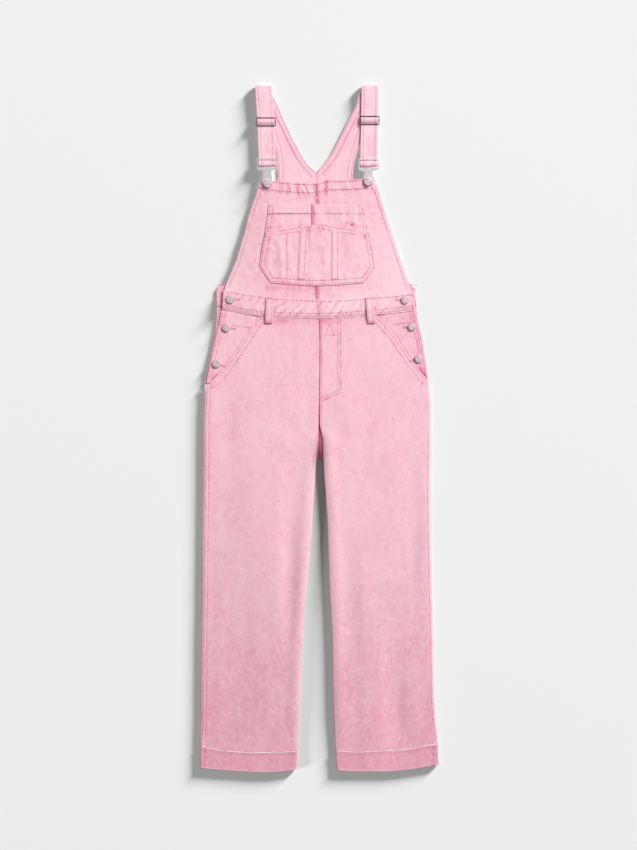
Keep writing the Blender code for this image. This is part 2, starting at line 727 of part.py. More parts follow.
def button(name, x, y, z, neck=1.6):
    """Sewn-through jeans button: flange, short neck and a domed head with a shallow dished face."""
    r = BUTTON_RADIUS
    profile = (
        (4.6, 0.0), (4.6, 0.6), (2.6, 0.9), (2.6, neck), (r - 1.0, neck + 0.2), (r, neck + 0.9),
        (r, neck + 1.6), (r - 1.0, neck + 2.4), (r - 2.4, neck + 2.2), (2.0, neck + 2.5),
    )
    return turned(name, x, y, z, profile, STEEL)


def hook(name, x, bar_y, ring_y, z):
    """Overall hook: a frame with a middle bar for the strap, shoulders, and a loop for the button."""
    top = bar_y + 13.2
    foot = bar_y - 8.2
    outline = [(x + 19.5, top), (x - 19.5, top), (x - 21.2, top - 1.7), (x - 21.2, foot)]
    outline += [(x - 19.5, foot - 2.6), (x - 11.5, foot - 3.6), (x - 9.0, foot - 5.0)]
    outline += [(x - 8.4, foot - 8.0)]
    outline += circle(x, ring_y, 10.8, 13, 148, 244)
    outline += [(x + 8.4, foot - 8.0), (x + 9.0, foot - 5.0), (x + 11.5, foot - 3.6)]
    outline += [(x + 19.5, foot - 2.6), (x + 21.2, foot), (x + 21.2, top - 1.7)]
    strap_window = box_outline(x, bar_y + 5.65, 38.4, 8.7, 0.8)
    turn_window = box_outline(x, bar_y - 3.5, 38.4, 4.4, 0.8)
    eye = circle(x, ring_y, 7.2, 16)
    return plate(name, outline, [strap_window, turn_window, eye], z, z + 1.4, STEEL)


def slider(name, x, y, z):
    """Slider: a flat frame whose middle bar the strap passes over."""
    outline = box_outline(x, y, 41.6, 19.0, 2.0)
    windows = [box_outline(x, y + side * 4.25, 38.4, 6.1, 0.8) for side in (1, -1)]
    return plate(name, outline, windows, z, z + 1.0, STEEL)


def build():
    for old in list(bpy.data.objects):
        bpy.data.objects.remove(old, do_unlink=True)

    front_leg("front_leg_right", RIGHT_OUTSEAM, RIGHT_INSEAM, RIGHT_HEM, RIGHT_POCKET, "right")
    front_leg("front_leg_left", LEFT_OUTSEAM, LEFT_INSEAM, LEFT_HEM, LEFT_POCKET, "left")
    back_leg("back_leg_right", RIGHT_OUTSEAM, RIGHT_INSEAM, RIGHT_HEM)
    back_leg("back_leg_left", LEFT_OUTSEAM, LEFT_INSEAM, LEFT_HEM)
    hem_band("hem_band_right", RIGHT_OUTSEAM, RIGHT_INSEAM, RIGHT_HEM)
    hem_band("hem_band_left", LEFT_OUTSEAM, LEFT_INSEAM, LEFT_HEM)
    facing("pocket_facing_right", RIGHT_FACING, RIGHT_POCKET, "right")
    facing("pocket_facing_left", LEFT_FACING, LEFT_POCKET, "left")
    front_waistband("front_waistband_right", -201.0, -0.65)
    front_waistband("front_waistband_left", -0.35, 202.0)
    back_waistband()
    front_bib("front_bib_right", "right")
    front_bib("front_bib_left", "left")
    back_bib("back_bib_right", RIGHT_BACK_BIB, "right")
    back_bib("back_bib_left", LEFT_BACK_BIB, "left")
    pocket_top("pocket_top_right", None, POCKET_LAP_X + 4.0, 0.0)
    pocket_top("pocket_top_left", POCKET_LAP_X, None, POCKET_CLOTH + LAY + 0.1)
    pocket_patch()
    pocket_strip("pocket_strip_right", -31.0, -36.5, 16.0)
    pocket_strip("pocket_strip_left", 35.0, 34.5, 16.0)
    belt_loop("belt_loop_right", -102.0, -105.0)
    belt_loop("belt_loop_left", 106.0, 111.0)

    # Straps: x at the fold, x at the slider, x at the hook, slider y, hook bar y, x at the back, fold y.
    right = (-116.0, -110.6, -107.6, 644.2, 554.3, -117.6, 722.6)
    left = (108.2, 107.0, 105.2, 647.4, 553.6, 105.8, 722.6)
    ribbon("front_strap_right", strap_path(right), STRAP_WIDTH, STRAP_CLOTH, DENIM_PALE)
    ribbon("front_strap_left", strap_path(left), STRAP_WIDTH, STRAP_CLOTH, DENIM_PALE)
    slider("slider_right", right[1], right[3], 7.1)
    slider("slider_left", left[1], left[3], 7.1)
    hook("hook_right", right[2], right[4], 518.2, 7.1)
    hook("hook_left", left[2], left[4], 521.6, 7.1)
    button("bib_button_right", -106.6, 514.4, 5.0, 4.2)
    button("bib_button_left", 104.2, 518.4, 5.0, 4.2)
    buttons = (
        ("right", -185.2, 271.4), ("right", -194.0, 212.2), ("right", -214.4, 136.4),
        ("left", 181.7, 270.4), ("left", 196.6, 214.5), ("left", 210.4, 147.1),
    )
    for number, (side, x, y) in enumerate(buttons):
        base = waist_height(x, y) if y > 240 else rise(x, y) - CLOTH - LAY
        button("side_button_%s_%d" % (side, number % 3 + 1), x, y, base + LAY)


build()
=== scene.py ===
# %% [markdown]
# # Denim overalls, laid flat
# A pair of washed pink overalls lies on its back, seen from straight above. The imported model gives
# every piece its place. Each cloth piece is built again here as a fine shell on the same form, so
# that it can carry creases, puckered seams and a woven finish.

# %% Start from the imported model
import json
import math

import bpy
import numpy as np
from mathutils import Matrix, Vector

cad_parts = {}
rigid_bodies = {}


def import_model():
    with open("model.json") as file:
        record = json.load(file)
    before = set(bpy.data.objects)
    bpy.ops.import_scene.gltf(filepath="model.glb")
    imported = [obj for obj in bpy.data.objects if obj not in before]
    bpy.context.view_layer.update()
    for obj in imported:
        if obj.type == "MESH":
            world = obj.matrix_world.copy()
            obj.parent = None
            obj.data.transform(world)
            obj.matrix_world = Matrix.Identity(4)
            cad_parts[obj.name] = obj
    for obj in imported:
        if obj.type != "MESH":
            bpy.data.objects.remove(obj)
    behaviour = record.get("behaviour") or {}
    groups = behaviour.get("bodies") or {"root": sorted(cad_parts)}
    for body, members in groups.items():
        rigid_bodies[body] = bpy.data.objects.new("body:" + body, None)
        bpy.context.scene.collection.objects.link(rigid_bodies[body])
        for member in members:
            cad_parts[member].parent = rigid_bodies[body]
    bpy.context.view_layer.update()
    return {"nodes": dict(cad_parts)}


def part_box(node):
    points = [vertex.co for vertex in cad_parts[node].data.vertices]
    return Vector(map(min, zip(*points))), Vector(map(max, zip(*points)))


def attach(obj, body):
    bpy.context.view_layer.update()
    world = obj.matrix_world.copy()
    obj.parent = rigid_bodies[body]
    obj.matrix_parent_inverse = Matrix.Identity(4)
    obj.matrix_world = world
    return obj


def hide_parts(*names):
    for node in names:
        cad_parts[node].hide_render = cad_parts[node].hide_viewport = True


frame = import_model()
print("nodes", len(frame["nodes"]))

# %% [markdown]
# ## Sizes
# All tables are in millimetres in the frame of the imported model: +Y to the straps, +X to the
# wearer's left, the floor at zero. An outline table could be a curve object, but a table of heights
# and places across is easier to measure from a photograph and to correct.

# %% Thicknesses and heights
MM = 0.001
CLOTH = 1.4
BACK_CLOTH = 1.5
BAND_CLOTH = 1.8
HEM_CLOTH = 1.9
STRAP_CLOTH = 2.0
LOOP_CLOTH = 2.0
POCKET_CLOTH = 1.2
STRIP_CLOTH = 0.7
# Gap between two panels that meet, and between two layers that lie on each other.
SEAM = 0.3
LAY = 0.45
# Top of the front layer above the floor.
LEG_RISE = 6.3
HIP_RISE = 6.0
BIB_RISE = 4.1
# Radius of the turned edges of a leg.
EDGE_ROUND = 8.0
INSEAM_ROUND = 11.0
LEG_UNDERSIDE = BACK_CLOTH + SEAM
WAIST_LEVEL = HIP_RISE + 0.1 + LAY + BAND_CLOTH
POCKET_LEVEL = 0.05 + LAY + POCKET_CLOTH
BACK_WAIST_BOTTOM = 256.0
BACK_WAIST_TOP = 306.3
LEG_END = -672.0
HEM_Y = -675.0
print("waistband lies", round(WAIST_LEVEL, 2), "mm above the floor")

# %% Outlines of the legs and facings
# One row per height: y, x.
RIGHT_OUTSEAM = (
    (306.3, -196.0), (302, -200.0), (299, -208.5), (295, -213.6), (287, -215.4), (260, -214.6),
    (228, -215.5), (197, -218.6), (165, -226.0),
    (134, -232.3), (102, -237.9), (71, -239.6), (39, -241.1), (-24, -242.3), (-150, -242.8),
    (-244, -244.2), (-360, -244.9), (-465, -247.0), (-570, -247.4), (-622, -248.4),
    (-675, -249.5), (-725, -249.5),
)
LEFT_OUTSEAM = (
    (306.3, 193.0), (301, 195.4), (297, 199.2), (292.6, 204.4), (288.5, 201.6), (280, 202.8),
    (270, 204.5), (260, 205.4), (228, 208.7), (197, 216.5), (165, 221.8),
    (134, 227.2), (102, 230.8), (71, 235.4), (39, 236.0), (-24, 236.0), (-150, 235.0),
    (-244, 236.0), (-339, 238.1), (-402, 240.2), (-496, 240.9), (-559, 242.3), (-591, 244.4),
    (-622, 246.5), (-654, 249.9), (-706, 251.8), (-725, 252.2),
)
RIGHT_INSEAM = (
    (240, 1.6), (176, 2.6), (60, 1.6), (8, 0.7), (-9, 0.4), (-24, -0.4), (-45, -2.6), (-61, -4.0),
    (-87, -6.3), (-129, -8.6), (-171, -12.0), (-213, -13.9), (-244, -17.0), (-276, -19.7),
    (-307, -22.9), (-339, -26.9), (-370, -29.6), (-402, -31.7), (-465, -34.9), (-528, -38.0),
    (-591, -40.7), (-654, -43.3), (-725, -47.5),
)
LEFT_INSEAM = (
    (240, 1.9), (176, 2.9), (60, 1.9), (8, 2.2), (-9, 5.6), (-24, 8.0), (-45, 8.3), (-61, 9.0),
    (-87, 10.5), (-129, 13.9), (-192, 18.5), (-244, 19.9), (-276, 21.0), (-339, 22.7),
    (-370, 24.6), (-433, 28.1), (-528, 29.6), (-591, 31.3), (-654, 33.8), (-685, 35.3),
    (-725, 38.5),
)
# The slanted pocket openings, which are the outer edges of the front legs above the hips.
RIGHT_POCKET = ((250, -114), (235, -124.1), (177, -163.0), (130.5, -194.5), (94, -229.0))
LEFT_POCKET = ((250, 112), (238, 122.6), (193, 161.9), (153, 187.7), (110, 222.0), (103, 227.5))
# Outer edges of the pocket facings.
RIGHT_FACING = ((262, -201.0), (250, -203.7), (218, -210.3), (181, -219.2), (132, -229.6), (106, -234.2))
LEFT_FACING = (
    (262, 198.8), (247, 201.4), (218, 207.2), (186, 214.6), (149, 221.8), (119, 226.0), (106, 227.5),
)
print("outseam points", len(RIGHT_OUTSEAM), len(LEFT_OUTSEAM))

# %% Outlines of the waistband, bib, pocket and hems
# Front waistband edges: x, y.
WAIST_TOP = (
    (-199, 291), (-155, 284), (-110, 276.7), (-71, 273.5), (-5, 270.4), (53, 271.2), (108, 275.6),
    (160, 280.2), (203, 284.7),
)
WAIST_BOTTOM = (
    (-203, 251.5), (-157, 241), (-119, 235.7), (-71, 233.0), (-1, 230.9), (53, 233.4), (112, 237.8),
    (160, 242.7), (201, 247.3),
)
# Sides and top of the bib.
RIGHT_BIB = (
    (530, -118.5), (519, -122.0), (497, -129.8), (480, -136.1), (449, -146.6), (417, -153.9),
    (386, -163.4), (354, -172.6), (323, -186.1), (296, -197.4), (262, -199.5),
)
LEFT_BIB = (
    (530, 116.0), (522, 117.4), (497, 126.2), (480, 131.5), (449, 141.5), (417, 152.0),
    (386, 162.5), (354, 173.0), (323, 183.5), (287, 196.1), (262, 198.5),
)
BIB_TOP = (
    (-122, 521.5), (-100, 521), (-52, 516.6), (-5, 515.2), (18, 522), (58, 522.7), (93, 524.6),
    (118, 524),
)
BIB_CENTRE = ((530, -5.2), (516, -5.0), (470, -2.7), (300, -4.6), (262, -3.0), (228, 1.7))
# Back bib: y, inner neckline x, outer x.
RIGHT_BACK_BIB = (
    (706, -99.0, -132.5), (694, -92.5, -128.5), (680, -86.0, -123.0), (650, -72.7, -111.0),
    (615, -56.5, -98.5), (577, -37.0, -88.0), (556, -23.0, -85.6), (543, -8.0, -85.2),
    (538, -4.3, -85.1), (520, -3.6, -86.0), (480, -3.0, -92.0), (430, -3.0, -108.0),
    (380, -3.0, -135.0), (330, -3.0, -168.0), (306.6, -3.0, -186.0),
)
LEFT_BACK_BIB = (
    (706, 86.0, 124.0), (694, 82.8, 116.2), (680, 79.4, 111.5), (650, 63.5, 102.3),
    (615, 46.0, 91.0), (577, 26.5, 79.2), (556, 11.0, 74.3), (543, -2.0, 72.4),
    (538, -3.7, 72.0), (520, -3.3, 71.6), (480, -2.7, 80.0), (430, -2.7, 98.0),
    (380, -2.7, 126.0), (330, -2.7, 160.0), (306.6, -2.7, 180.0),
)
# Bib pocket edges: y, right side x, left side x.
POCKET_SIDES = (
    (472, -105.2, 94.0), (449, -107.7, 98.7), (411, -113.2, 107.1), (375, -119.7, 113.8),
    (342, -124.3, 119.0), (338, -122.5, 119.7), (306.5, -101.0, 96.0),
)
POCKET_BOTTOM = ((-101, 306.1), (-39, 300.8), (-3, 299.6), (30, 300.6), (91, 305.3), (97, 306.1))
# Curved opening of the pocket patch: x, y.
PATCH_TOP = (
    (-114, 412.1), (-81, 418.4), (-50, 423.7), (-16, 426.8), (-8, 432.1), (13, 430.0), (28, 425.8),
    (55, 422.0), (76, 419.0), (107, 416.0),
)
POCKET_LAP_X = -14.7
# Hem bands: x, y at the top ridge and y at the bottom edge.
RIGHT_HEM = (
    (-250, -665, -712.0), (-243, -667, -713.5), (-211, -675.5, -716.5), (-178, -678.5, -718.7),
    (-150, -680.1, -720.5), (-123, -680.1, -722.3), (-75, -679.4, -720.8), (-45, -677.5, -714.5),
)
LEFT_HEM = (
    (36, -675.5, -715.0), (42, -677.0, -719.4), (72, -680.0, -720.0), (125, -676.7, -720.4),
    (169, -675.5, -718.7), (216, -668.5, -712.4), (238, -661.9, -707.5), (252, -661.0, -705.3),
)

print("back bib points", len(RIGHT_BACK_BIB), len(LEFT_BACK_BIB))

# %% Folds and creases
# Folds of the front layer. Each is a soft trough or ridge along a line, thinning to its ends:
# x start, y start, x end, y end, half width, height.
FOLDS = (
    # Right leg: long soft troughs and a ridge along the inner edge.
    (-226, -80, -222, -420, 9, -0.9),
    (-190, 60, -196, -300, 17, -0.7),
    (-150, 180, -140, -240, 20, 0.6),
    (-62, -190, -64, -470, 13, -1.3),
    (-88, -120, -92, -560, 16, 0.5),
    (-150, -260, -158, -600, 18, -0.9),
    (-205, -330, -208, -640, 14, 0.6),
    (-110, -380, -118, -640, 17, 0.6),
    (-60, -500, -66, -655, 12, -0.8),
    (-178, -480, -190, -650, 12, -0.7),
    (-120, 20, -40, -60, 16, 0.7),
    (-26, 120, -20, -30, 10, -0.6),
    # Left leg.
    (60, 150, 52, -180, 18, 0.6),
    (100, 120, 98, -160, 16, -0.7),
    (160, 40, 152, -330, 20, 0.7),
    (203, -90, 203, -430, 11, -1.2),
    (224, -60, 226, -300, 8, 0.4),
    (62, -230, 66, -470, 13, -1.0),
    (96, -300, 104, -600, 16, 0.6),
    (140, -330, 150, -640, 15, -0.8),
    (190, -420, 196, -640, 15, 0.6),
    (78, -540, 84, -655, 11, -0.7),
    (222, -500, 226, -650, 9, -0.6),
    # Creases by the left pocket end and at the knee.
    (226, 70, 168, -10, 9, -0.8),
    (232, 38, 186, -48, 10, 0.6),
    (60, -268, 190, -300, 11, -0.5),
    (90, -330, 200, -310, 11, 0.45),
    # Bib: slack beside the pocket, and puckers at the top corners.
    (-150, 410, -160, 330, 12, 0.5),
    (140, 470, 156, 350, 12, 0.5),
    (-60, 508, -40, 486, 9, -0.35),
    (40, 510, 62, 488, 10, -0.35),
)
# Finer creases, drawn from the photograph. They are softer than a seam and sharper than
# the folds: x start, y start, x end, y end, half width, height.
CREASES = (
    # Right hip and thigh.
    (-118, 205, -96, 130, 6, -0.35), (-96, 215, -84, 120, 5, 0.25), (-60, 225, -52, 150, 7, -0.3),
    (-150, 120, -120, 30, 8, 0.3), (-34, 60, -30, -60, 6, 0.3), (-14, 180, -14, 60, 6, -0.25),
    (-190, 60, -170, -40, 7, -0.3), (-70, 20, -24, -20, 7, -0.3), (-60, -20, -16, -42, 6, 0.25),
    (-225, 40, -205, -60, 6, 0.3),
    # Left hip: diagonal creases from the pocket's end.
    (222, 96, 186, 40, 4.5, -0.55), (206, 84, 176, 28, 4.5, 0.4), (228, 60, 200, 6, 4.5, -0.4),
    (236, 30, 214, -30, 5, 0.35), (190, 120, 150, 60, 6, -0.3), (120, 200, 136, 120, 7, 0.3),
    (62, 200, 64, 110, 6, -0.3), (30, 20, 90, -30, 8, -0.25), (24, -8, 60, -60, 6, 0.25),
    # Knees.
    (-230, -262, -150, -284, 8, -0.25), (-140, -250, -70, -262, 9, 0.25), (40, -246, 120, -262, 7, -0.3),
    (110, -286, 210, -270, 8, 0.28), (50, -318, 110, -330, 7, 0.25), (150, -352, 226, -340, 8, -0.28),
    # Shins.
    (-235, -520, -160, -560, 8, 0.25), (-120, -590, -60, -560, 8, -0.25), (60, -560, 140, -590, 9, 0.25),
    (170, -600, 236, -570, 8, -0.25), (-200, -625, -120, -640, 6, -0.25), (90, -630, 170, -645, 6, 0.25),
    # Bib beside and above the pocket.
    (-150, 440, -128, 400, 5, 0.3), (-170, 372, -140, 330, 6, -0.35), (-176, 330, -120, 318, 5, 0.35),
    (-150, 308, -60, 300, 5, -0.3), (150, 430, 132, 380, 5, 0.3), (172, 360, 140, 322, 6, -0.3),
    (180, 320, 120, 305, 5, 0.3), (20, 300, 100, 292, 5, -0.25), (-60, 292, 0, 286, 5, 0.25),
)
print("folds", len(FOLDS), "creases", len(CREASES))

# %% Small helpers


def look(table, at, column=1):
    """Column of a table at any height or place across, between its rows."""
    rows = np.array(sorted(table), float)
    return np.interp(at, rows[:, 0], rows[:, column])


def ease(low, high, value):
    """Soft step from 0 at low to 1 at high."""
    share = np.clip((np.asarray(value, float) - low) / (high - low), 0.0, 1.0)
    return share * share * (3 - 2 * share)


def hill(distance, reach):
    """Soft round hump: 1 at no distance, and nearly 0 at twice the reach."""
    return np.exp(-((distance / reach) ** 2))


def patches(x, y, table):
    """Sum of soft patches, each with its middle, reach across, reach along and amount."""
    total = np.zeros(np.shape(x))
    for x0, y0, across, along, amount in table:
        total += amount * hill(x - x0, across) * hill(y - y0, along)
    return total


def rolled(distance, radius):
    """Share of the way down that a turned edge has gone, at a distance from it."""
    return 1 - np.sqrt(np.maximum(0, 1 - np.maximum(0, 1 - distance / radius) ** 2))


def noise(x, y, seed=0):
    """Smooth noise from -1 to 1, always the same for one seed."""
    x, y = np.broadcast_arrays(np.asarray(x, float), np.asarray(y, float))
    i, j = np.floor(x), np.floor(y)

    def corner(a, b):
        hashed = np.sin(a * 127.1 + b * 311.7 + seed * 74.7) * 43758.5453
        return (hashed - np.floor(hashed)) * 2 - 1

    u, v = ease(0, 1, x - i), ease(0, 1, y - j)
    low = corner(i, j) * (1 - u) + corner(i + 1, j) * u
    high = corner(i, j + 1) * (1 - u) + corner(i + 1, j + 1) * u
    return low * (1 - v) + high * v


def lines(x, y, table):
    """Sum of soft troughs and ridges, each thinning to its ends."""
    total = np.zeros(np.broadcast(x, y).shape)
    for number, (x0, y0, x1, y1, half, height) in enumerate(table):
        length = math.hypot(x1 - x0, y1 - y0)
        along = ((x - x0) * (x1 - x0) + (y - y0) * (y1 - y0)) / length
        aside = ((x - x0) * (y1 - y0) - (y - y0) * (x1 - x0)) / length
        ends = ease(-0.1, 0.3, along / length) * (1 - ease(0.7, 1.1, along / length))
        total += height * ends * np.exp(-((aside / half) ** 2))
    return total


print("noise at one place", round(float(noise(0.3, 0.7)), 3))

# %% Height of the front layer


def rise(x, y):
    """Top of the front layer above the floor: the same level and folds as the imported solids."""
    level = np.interp(
        y, (-720, -650, 60, 240, 300, 420, 520),
        (6.0, 6.4, LEG_RISE, HIP_RISE, HIP_RISE - 0.5, BIB_RISE, BIB_RISE),
    )
    calm = 1 - 0.8 * ease(175, 235, y) * (1 - ease(290, 330, y))
    fine = lines(x, y, CREASES) + 0.14 * noise(x / 17, y / 60, 3) + 0.10 * noise(x / 9, y / 24, 4)
    return level + calm * (lines(x, y, FOLDS) + fine)


print("rise over the right knee", round(float(rise(-140.0, -270.0)), 2), "mm")

# %% [markdown]
# ## Seams
# A topstitched seam pulls the cloth into a groove along each row of thread and into short puckers
# across it. Washing then rubs the ridges pale and leaves the grooves deep in colour. One function
# works this out for any row, so that the shape, the colour and the thread all follow one path.

# %% Paths on the cloth


def resample(path, pitch):
    """The same path with points an even pitch apart."""
    path = np.array(path, float)
    steps = np.hypot(*np.diff(path, axis=0).T)
    length = np.concatenate([[0], np.cumsum(steps)])
    count = max(2, int(round(length[-1] / pitch)) + 1)
    at = np.linspace(0, length[-1], count)
    return np.stack([np.interp(at, length, path[:, 0]), np.interp(at, length, path[:, 1])], 1)


def beside(path, distance):
    """The path moved sideways: to its left for a positive distance."""
    path = np.array(path, float)
    along = np.gradient(path, axis=0)
    along /= np.hypot(along[:, 0], along[:, 1])[:, None]
    return path + np.stack([-along[:, 1], along[:, 0]], 1) * distance


def near(path, x, y):
    """Signed distance from a path, left side positive, and the length along it."""
    path = np.array(path, float)
    best = np.full(np.shape(x), 1e9)
    side = np.ones(np.shape(x))
    run = np.zeros(np.shape(x))
    done = 0.0
    for (ax, ay), (bx, by) in zip(path[:-1], path[1:]):
        dx, dy = bx - ax, by - ay
        length = math.hypot(dx, dy)
        share = np.clip(((x - ax) * dx + (y - ay) * dy) / length**2, 0, 1)
        away = np.hypot(x - ax - share * dx, y - ay - share * dy)
        closer = away < best
        cross = dx * (y - ay) - dy * (x - ax)
        best = np.where(closer, away, best)
        side = np.where(closer, np.sign(cross), side)
        run = np.where(closer, done + share * length, run)
        done += length
    return best * side, run


print("a path of 20 mm at a pitch of 5", len(resample([(0, 0), (20, 0)], 5)), "points")

# %% Rows of stitching and patches of painted light
# Patches painted paler (above zero) or deeper: x, y, reach across, reach along, amount. Most are
# painted light and shade, brighter on the left, toward the key lamp.
PAINTED_LIGHT_AND_PALE_PATCHES = (
    # Waistband: painted shade on the right, painted light on the left and on the left of its lower edge.
    (-91, 285, 46, 22, -0.05), (87, 285, 45, 24, 0.14), (66, 258, 60, 14, 0.10),
    # Painted light on the bib beside the pocket, on the left, and paler over the pocket's belly.
    (156, 350, 30, 90, 0.10), (0, 350, 60, 40, 0.07), (74, 350, 40, 40, 0.08),
    # A dark pulled crease at the end of the pocket's opening.
    (70, 429, 4.5, 2.4, -0.55), (61, 433, 9, 2.0, -0.25),
    # Strap roots paler; painted light on the hips, more on the left, and painted shade on the far right
    # hip.
    (-107, 600, 24, 50, 0.05), (106, 600, 24, 50, 0.06), (108, 176, 50, 60, 0.06),
    (-102, 176, 50, 60, 0.03), (-210, 180, 22, 50, -0.04),
)
PLAIN_GROOVE = 0.16
PLAIN_PUCKER = 0.12
STITCH_PITCH = 5.2
GROOVE_HALF = 1.1
ROW_MARGIN = 16


def row(path, groove=PLAIN_GROOVE, pucker=PLAIN_PUCKER, reach=6.0, wave=7.0, pitch=STITCH_PITCH, seed=0):
    """One row of stitching on a path. A pitch of 0 is a seam line with no thread on top."""
    return {
        "path": np.array(path, float), "groove": groove, "pucker": pucker, "reach": reach,
        "wave": wave, "pitch": pitch, "seed": seed,
    }


def wear_and_painted_light(x, y, rows):
    """Height that the rows add, and how pale the cloth is there: 0.5 is the plain colour. The patches in
    it are mostly painted light and shade.
    """
    pale = 0.5 + 0.03 * noise(x / 30, y / 46, 11) + 0.03 * noise(x / 4, y / 13, 12)
    # Patches of painted light and shade, and paler patches.
    pale += patches(x, y, PAINTED_LIGHT_AND_PALE_PATCHES)
    # Above the legs the cloth is small and much sewn, and it came out of the wash rumpled.
    rumple = ease(215, 300, y) * (1 - ease(540, 600, y))
    crumple = noise(x / 6.5 + y / 21, y / 9.0, 81) + 0.7 * noise(x / 3.2, y / 5.5 - x / 15, 82)
    height = rumple * 0.13 * crumple
    pale += (0.02 + 0.025 * rumple) * crumple
    for line in rows:
        low = line["path"].min(0) - ROW_MARGIN
        high = line["path"].max(0) + ROW_MARGIN
        if x.max() < low[0] or x.min() > high[0] or y.max() < low[1] or y.min() > high[1]:
            continue
        away, run = near(line["path"], x, y)
        seed = away * 0 + line["seed"]
        trench = hill(away, GROOVE_HALF)
        spread = hill(away, line["reach"])
        phase = run / line["wave"] + 0.6 * noise(run / 19, seed, line["seed"] + 21) + away * 0.05
        swell = 0.55 + 0.45 * noise(run / 13, seed, line["seed"] + 31)
        ripple = np.sin(phase * 2 * math.pi) * swell
        height += -line["groove"] * trench + line["pucker"] * spread * ripple
        pale += -0.10 * trench * min(1.6, line["groove"] / PLAIN_GROOVE)
        pale += spread * (line["pucker"] / PLAIN_PUCKER) * (0.10 * ripple - 0.01)
    return height, pale


print("rubbed patches", len(PAINTED_LIGHT_AND_PALE_PATCHES))

# %% [markdown]
# ## Cloth shells
# A shell is a grid of points for its outer face and the same grid moved in by the cloth's
# thickness, joined round the rim. A Solidify modifier could do this too, but the grid keeps the
# paleness of each point, and its edge can be rounded by moving single rows.

# %% Meshes on the frame
# Patches of painted shade (below zero) and painted light (above zero), carried by the shade
# attribute: x, y, reach across, reach along, amount.
PAINTED_LIGHT_AND_SHADE = (
    # Painted shade toward the hems, on the lower right leg, the right of the bib, the right hip and in
    # the crotch; painted light on the left of the bib.
    (0, -720, 900, 430, -0.125), (-140, -400, 110, 200, -0.05), (-165, 420, 50, 110, -0.12),
    (165, 420, 70, 120, 0.04), (-140, 60, 110, 180, -0.02), (1.4, -62, 12, 34, -0.66),
    # Right leg: painted shade on the outer half, painted light on a ridge, painted shade in a trough by
    # the inner edge.
    (-172, -210, 52, 210, -0.05), (-73, -270, 14, 190, 0.06), (-44, -300, 10, 130, -0.12),
    # Left leg: painted light on a band, and painted shade in a trough beside it near the hem.
    (146, -620, 26, 170, 0.10), (176, -570, 9, 60, -0.12), (84, -420, 10, 160, -0.05),
    (205, -260, 12, 190, -0.05),
)


def link(name, points, faces, pale=None):
    """Smooth mesh from points in millimetres, on the one body. Cloth also gets its paleness, and its
    painted light and shade.
    """
    mesh = bpy.data.meshes.new(name)
    mesh.from_pydata(np.asarray(points, float) * MM, [], faces)
    mesh.update()
    mesh.shade_smooth()
    if pale is not None:
        layer = mesh.attributes.new("pale", "FLOAT", "POINT")
        layer.data.foreach_set("value", np.clip(np.asarray(pale, np.float32).ravel(), 0, 1))
        # The shade attribute carries the painted light and shade.
        layer = mesh.attributes.new("shade", "FLOAT", "POINT")
        x, y = np.asarray(points, float)[:, :2].T
        layer.data.foreach_set("value", (1 + patches(x, y, PAINTED_LIGHT_AND_SHADE)).astype(np.float32))
    made = bpy.data.objects.new(name, mesh)
    bpy.context.scene.collection.objects.link(made)
    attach(made, "root")
    return made


print("dull and bright patches", len(PAINTED_LIGHT_AND_SHADE))

# %% Walls of cloth
SHELLS = {}


def ring_quads(index):
    """Quads between the rows of a grid of point numbers, where each row is a closed ring."""
    after = np.roll(index, -1, 1)
    return np.stack([index[:-1], after[:-1], after[1:], index[1:]], -1).reshape(-1, 4)


def wall(rows, columns):
    """Faces of a closed wall: a grid of outer points, the same grid of inner ones, and the rim."""
    half = rows * columns
    index = np.arange(half).reshape(rows, columns)
    corners = [index[:-1, :-1], index[:-1, 1:], index[1:, 1:], index[1:, :-1]]
    quads = np.stack(corners, -1).reshape(-1, 4)
    rim = np.concatenate([index[0], index[1:, -1], index[-1, -2::-1], index[-2:0:-1, 0]])
    follow = np.roll(rim, -1)
    sides = np.stack([follow, rim, rim + half, follow + half], -1)
    return np.concatenate([quads, quads[:, ::-1] + half, sides])


def keep(made, flat, area=None):
    """Notes a piece of cloth, whose flat size is printed at the end. The sizes are in metres."""
    SHELLS[made.name] = {"object": made, "area": area, "flat": flat, "with": []}
    made.data.materials.append(DENIM)
    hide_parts(made.name.removeprefix("cloth_"))


def sewn_on(made, finish, owner):
    """Thread, marks or fibre that belong to a piece of cloth."""
    made.data.materials.append(finish)
    SHELLS[owner]["with"].append(made)


def shell(name, grid, thick, pale, straight=False):
    """Closed wall from an outer grid of rows by columns. Straight walls go plumb down."""
    outer = np.asarray(grid, float)
    if straight:
        normal = np.zeros_like(outer)
        normal[..., 2] = 1
    else:
        normal = np.cross(np.gradient(outer, axis=1), np.gradient(outer, axis=0))
        normal /= np.linalg.norm(normal, axis=2, keepdims=True) + 1e-12
        if normal[..., 2].mean() < 0:
            normal = -normal
    inner = outer - normal * thick
    faces = wall(*outer.shape[:2])
    corner = outer[0, 0], outer[0, 1], outer[1, 0]
    if np.cross(corner[1] - corner[0], corner[2] - corner[0])[2] > 0:
        faces = faces[:, ::-1]
    points = np.concatenate([outer.reshape(-1, 3), inner.reshape(-1, 3)])
    pale = np.concatenate([np.ravel(pale), np.ravel(pale) * 0.9])
    made = link(name, points, faces.tolist(), pale)
    a, b = np.diff(outer, axis=0)[:, :-1], np.diff(outer, axis=1)[:-1]
    area = float(np.linalg.norm(np.cross(a, b), axis=2).sum()) * MM**2
    size = np.ptp(outer.reshape(-1, 3), axis=0) * MM
    keep(made, (float(size[0]), float(size[1])), area)
    return made


print("faces of a wall of 2 by 2 points", len(wall(2, 2)))

# %% [markdown]
# ### Thread
# A machine stitch shows as a short rounded bead, thin at both ends where the thread dives into the
# cloth. A texture could draw it, but a small mesh catches the light as thread does. Beside it, each
# needle hole is a dimple, and a small mark there is coloured deep as painted shade of the hole.

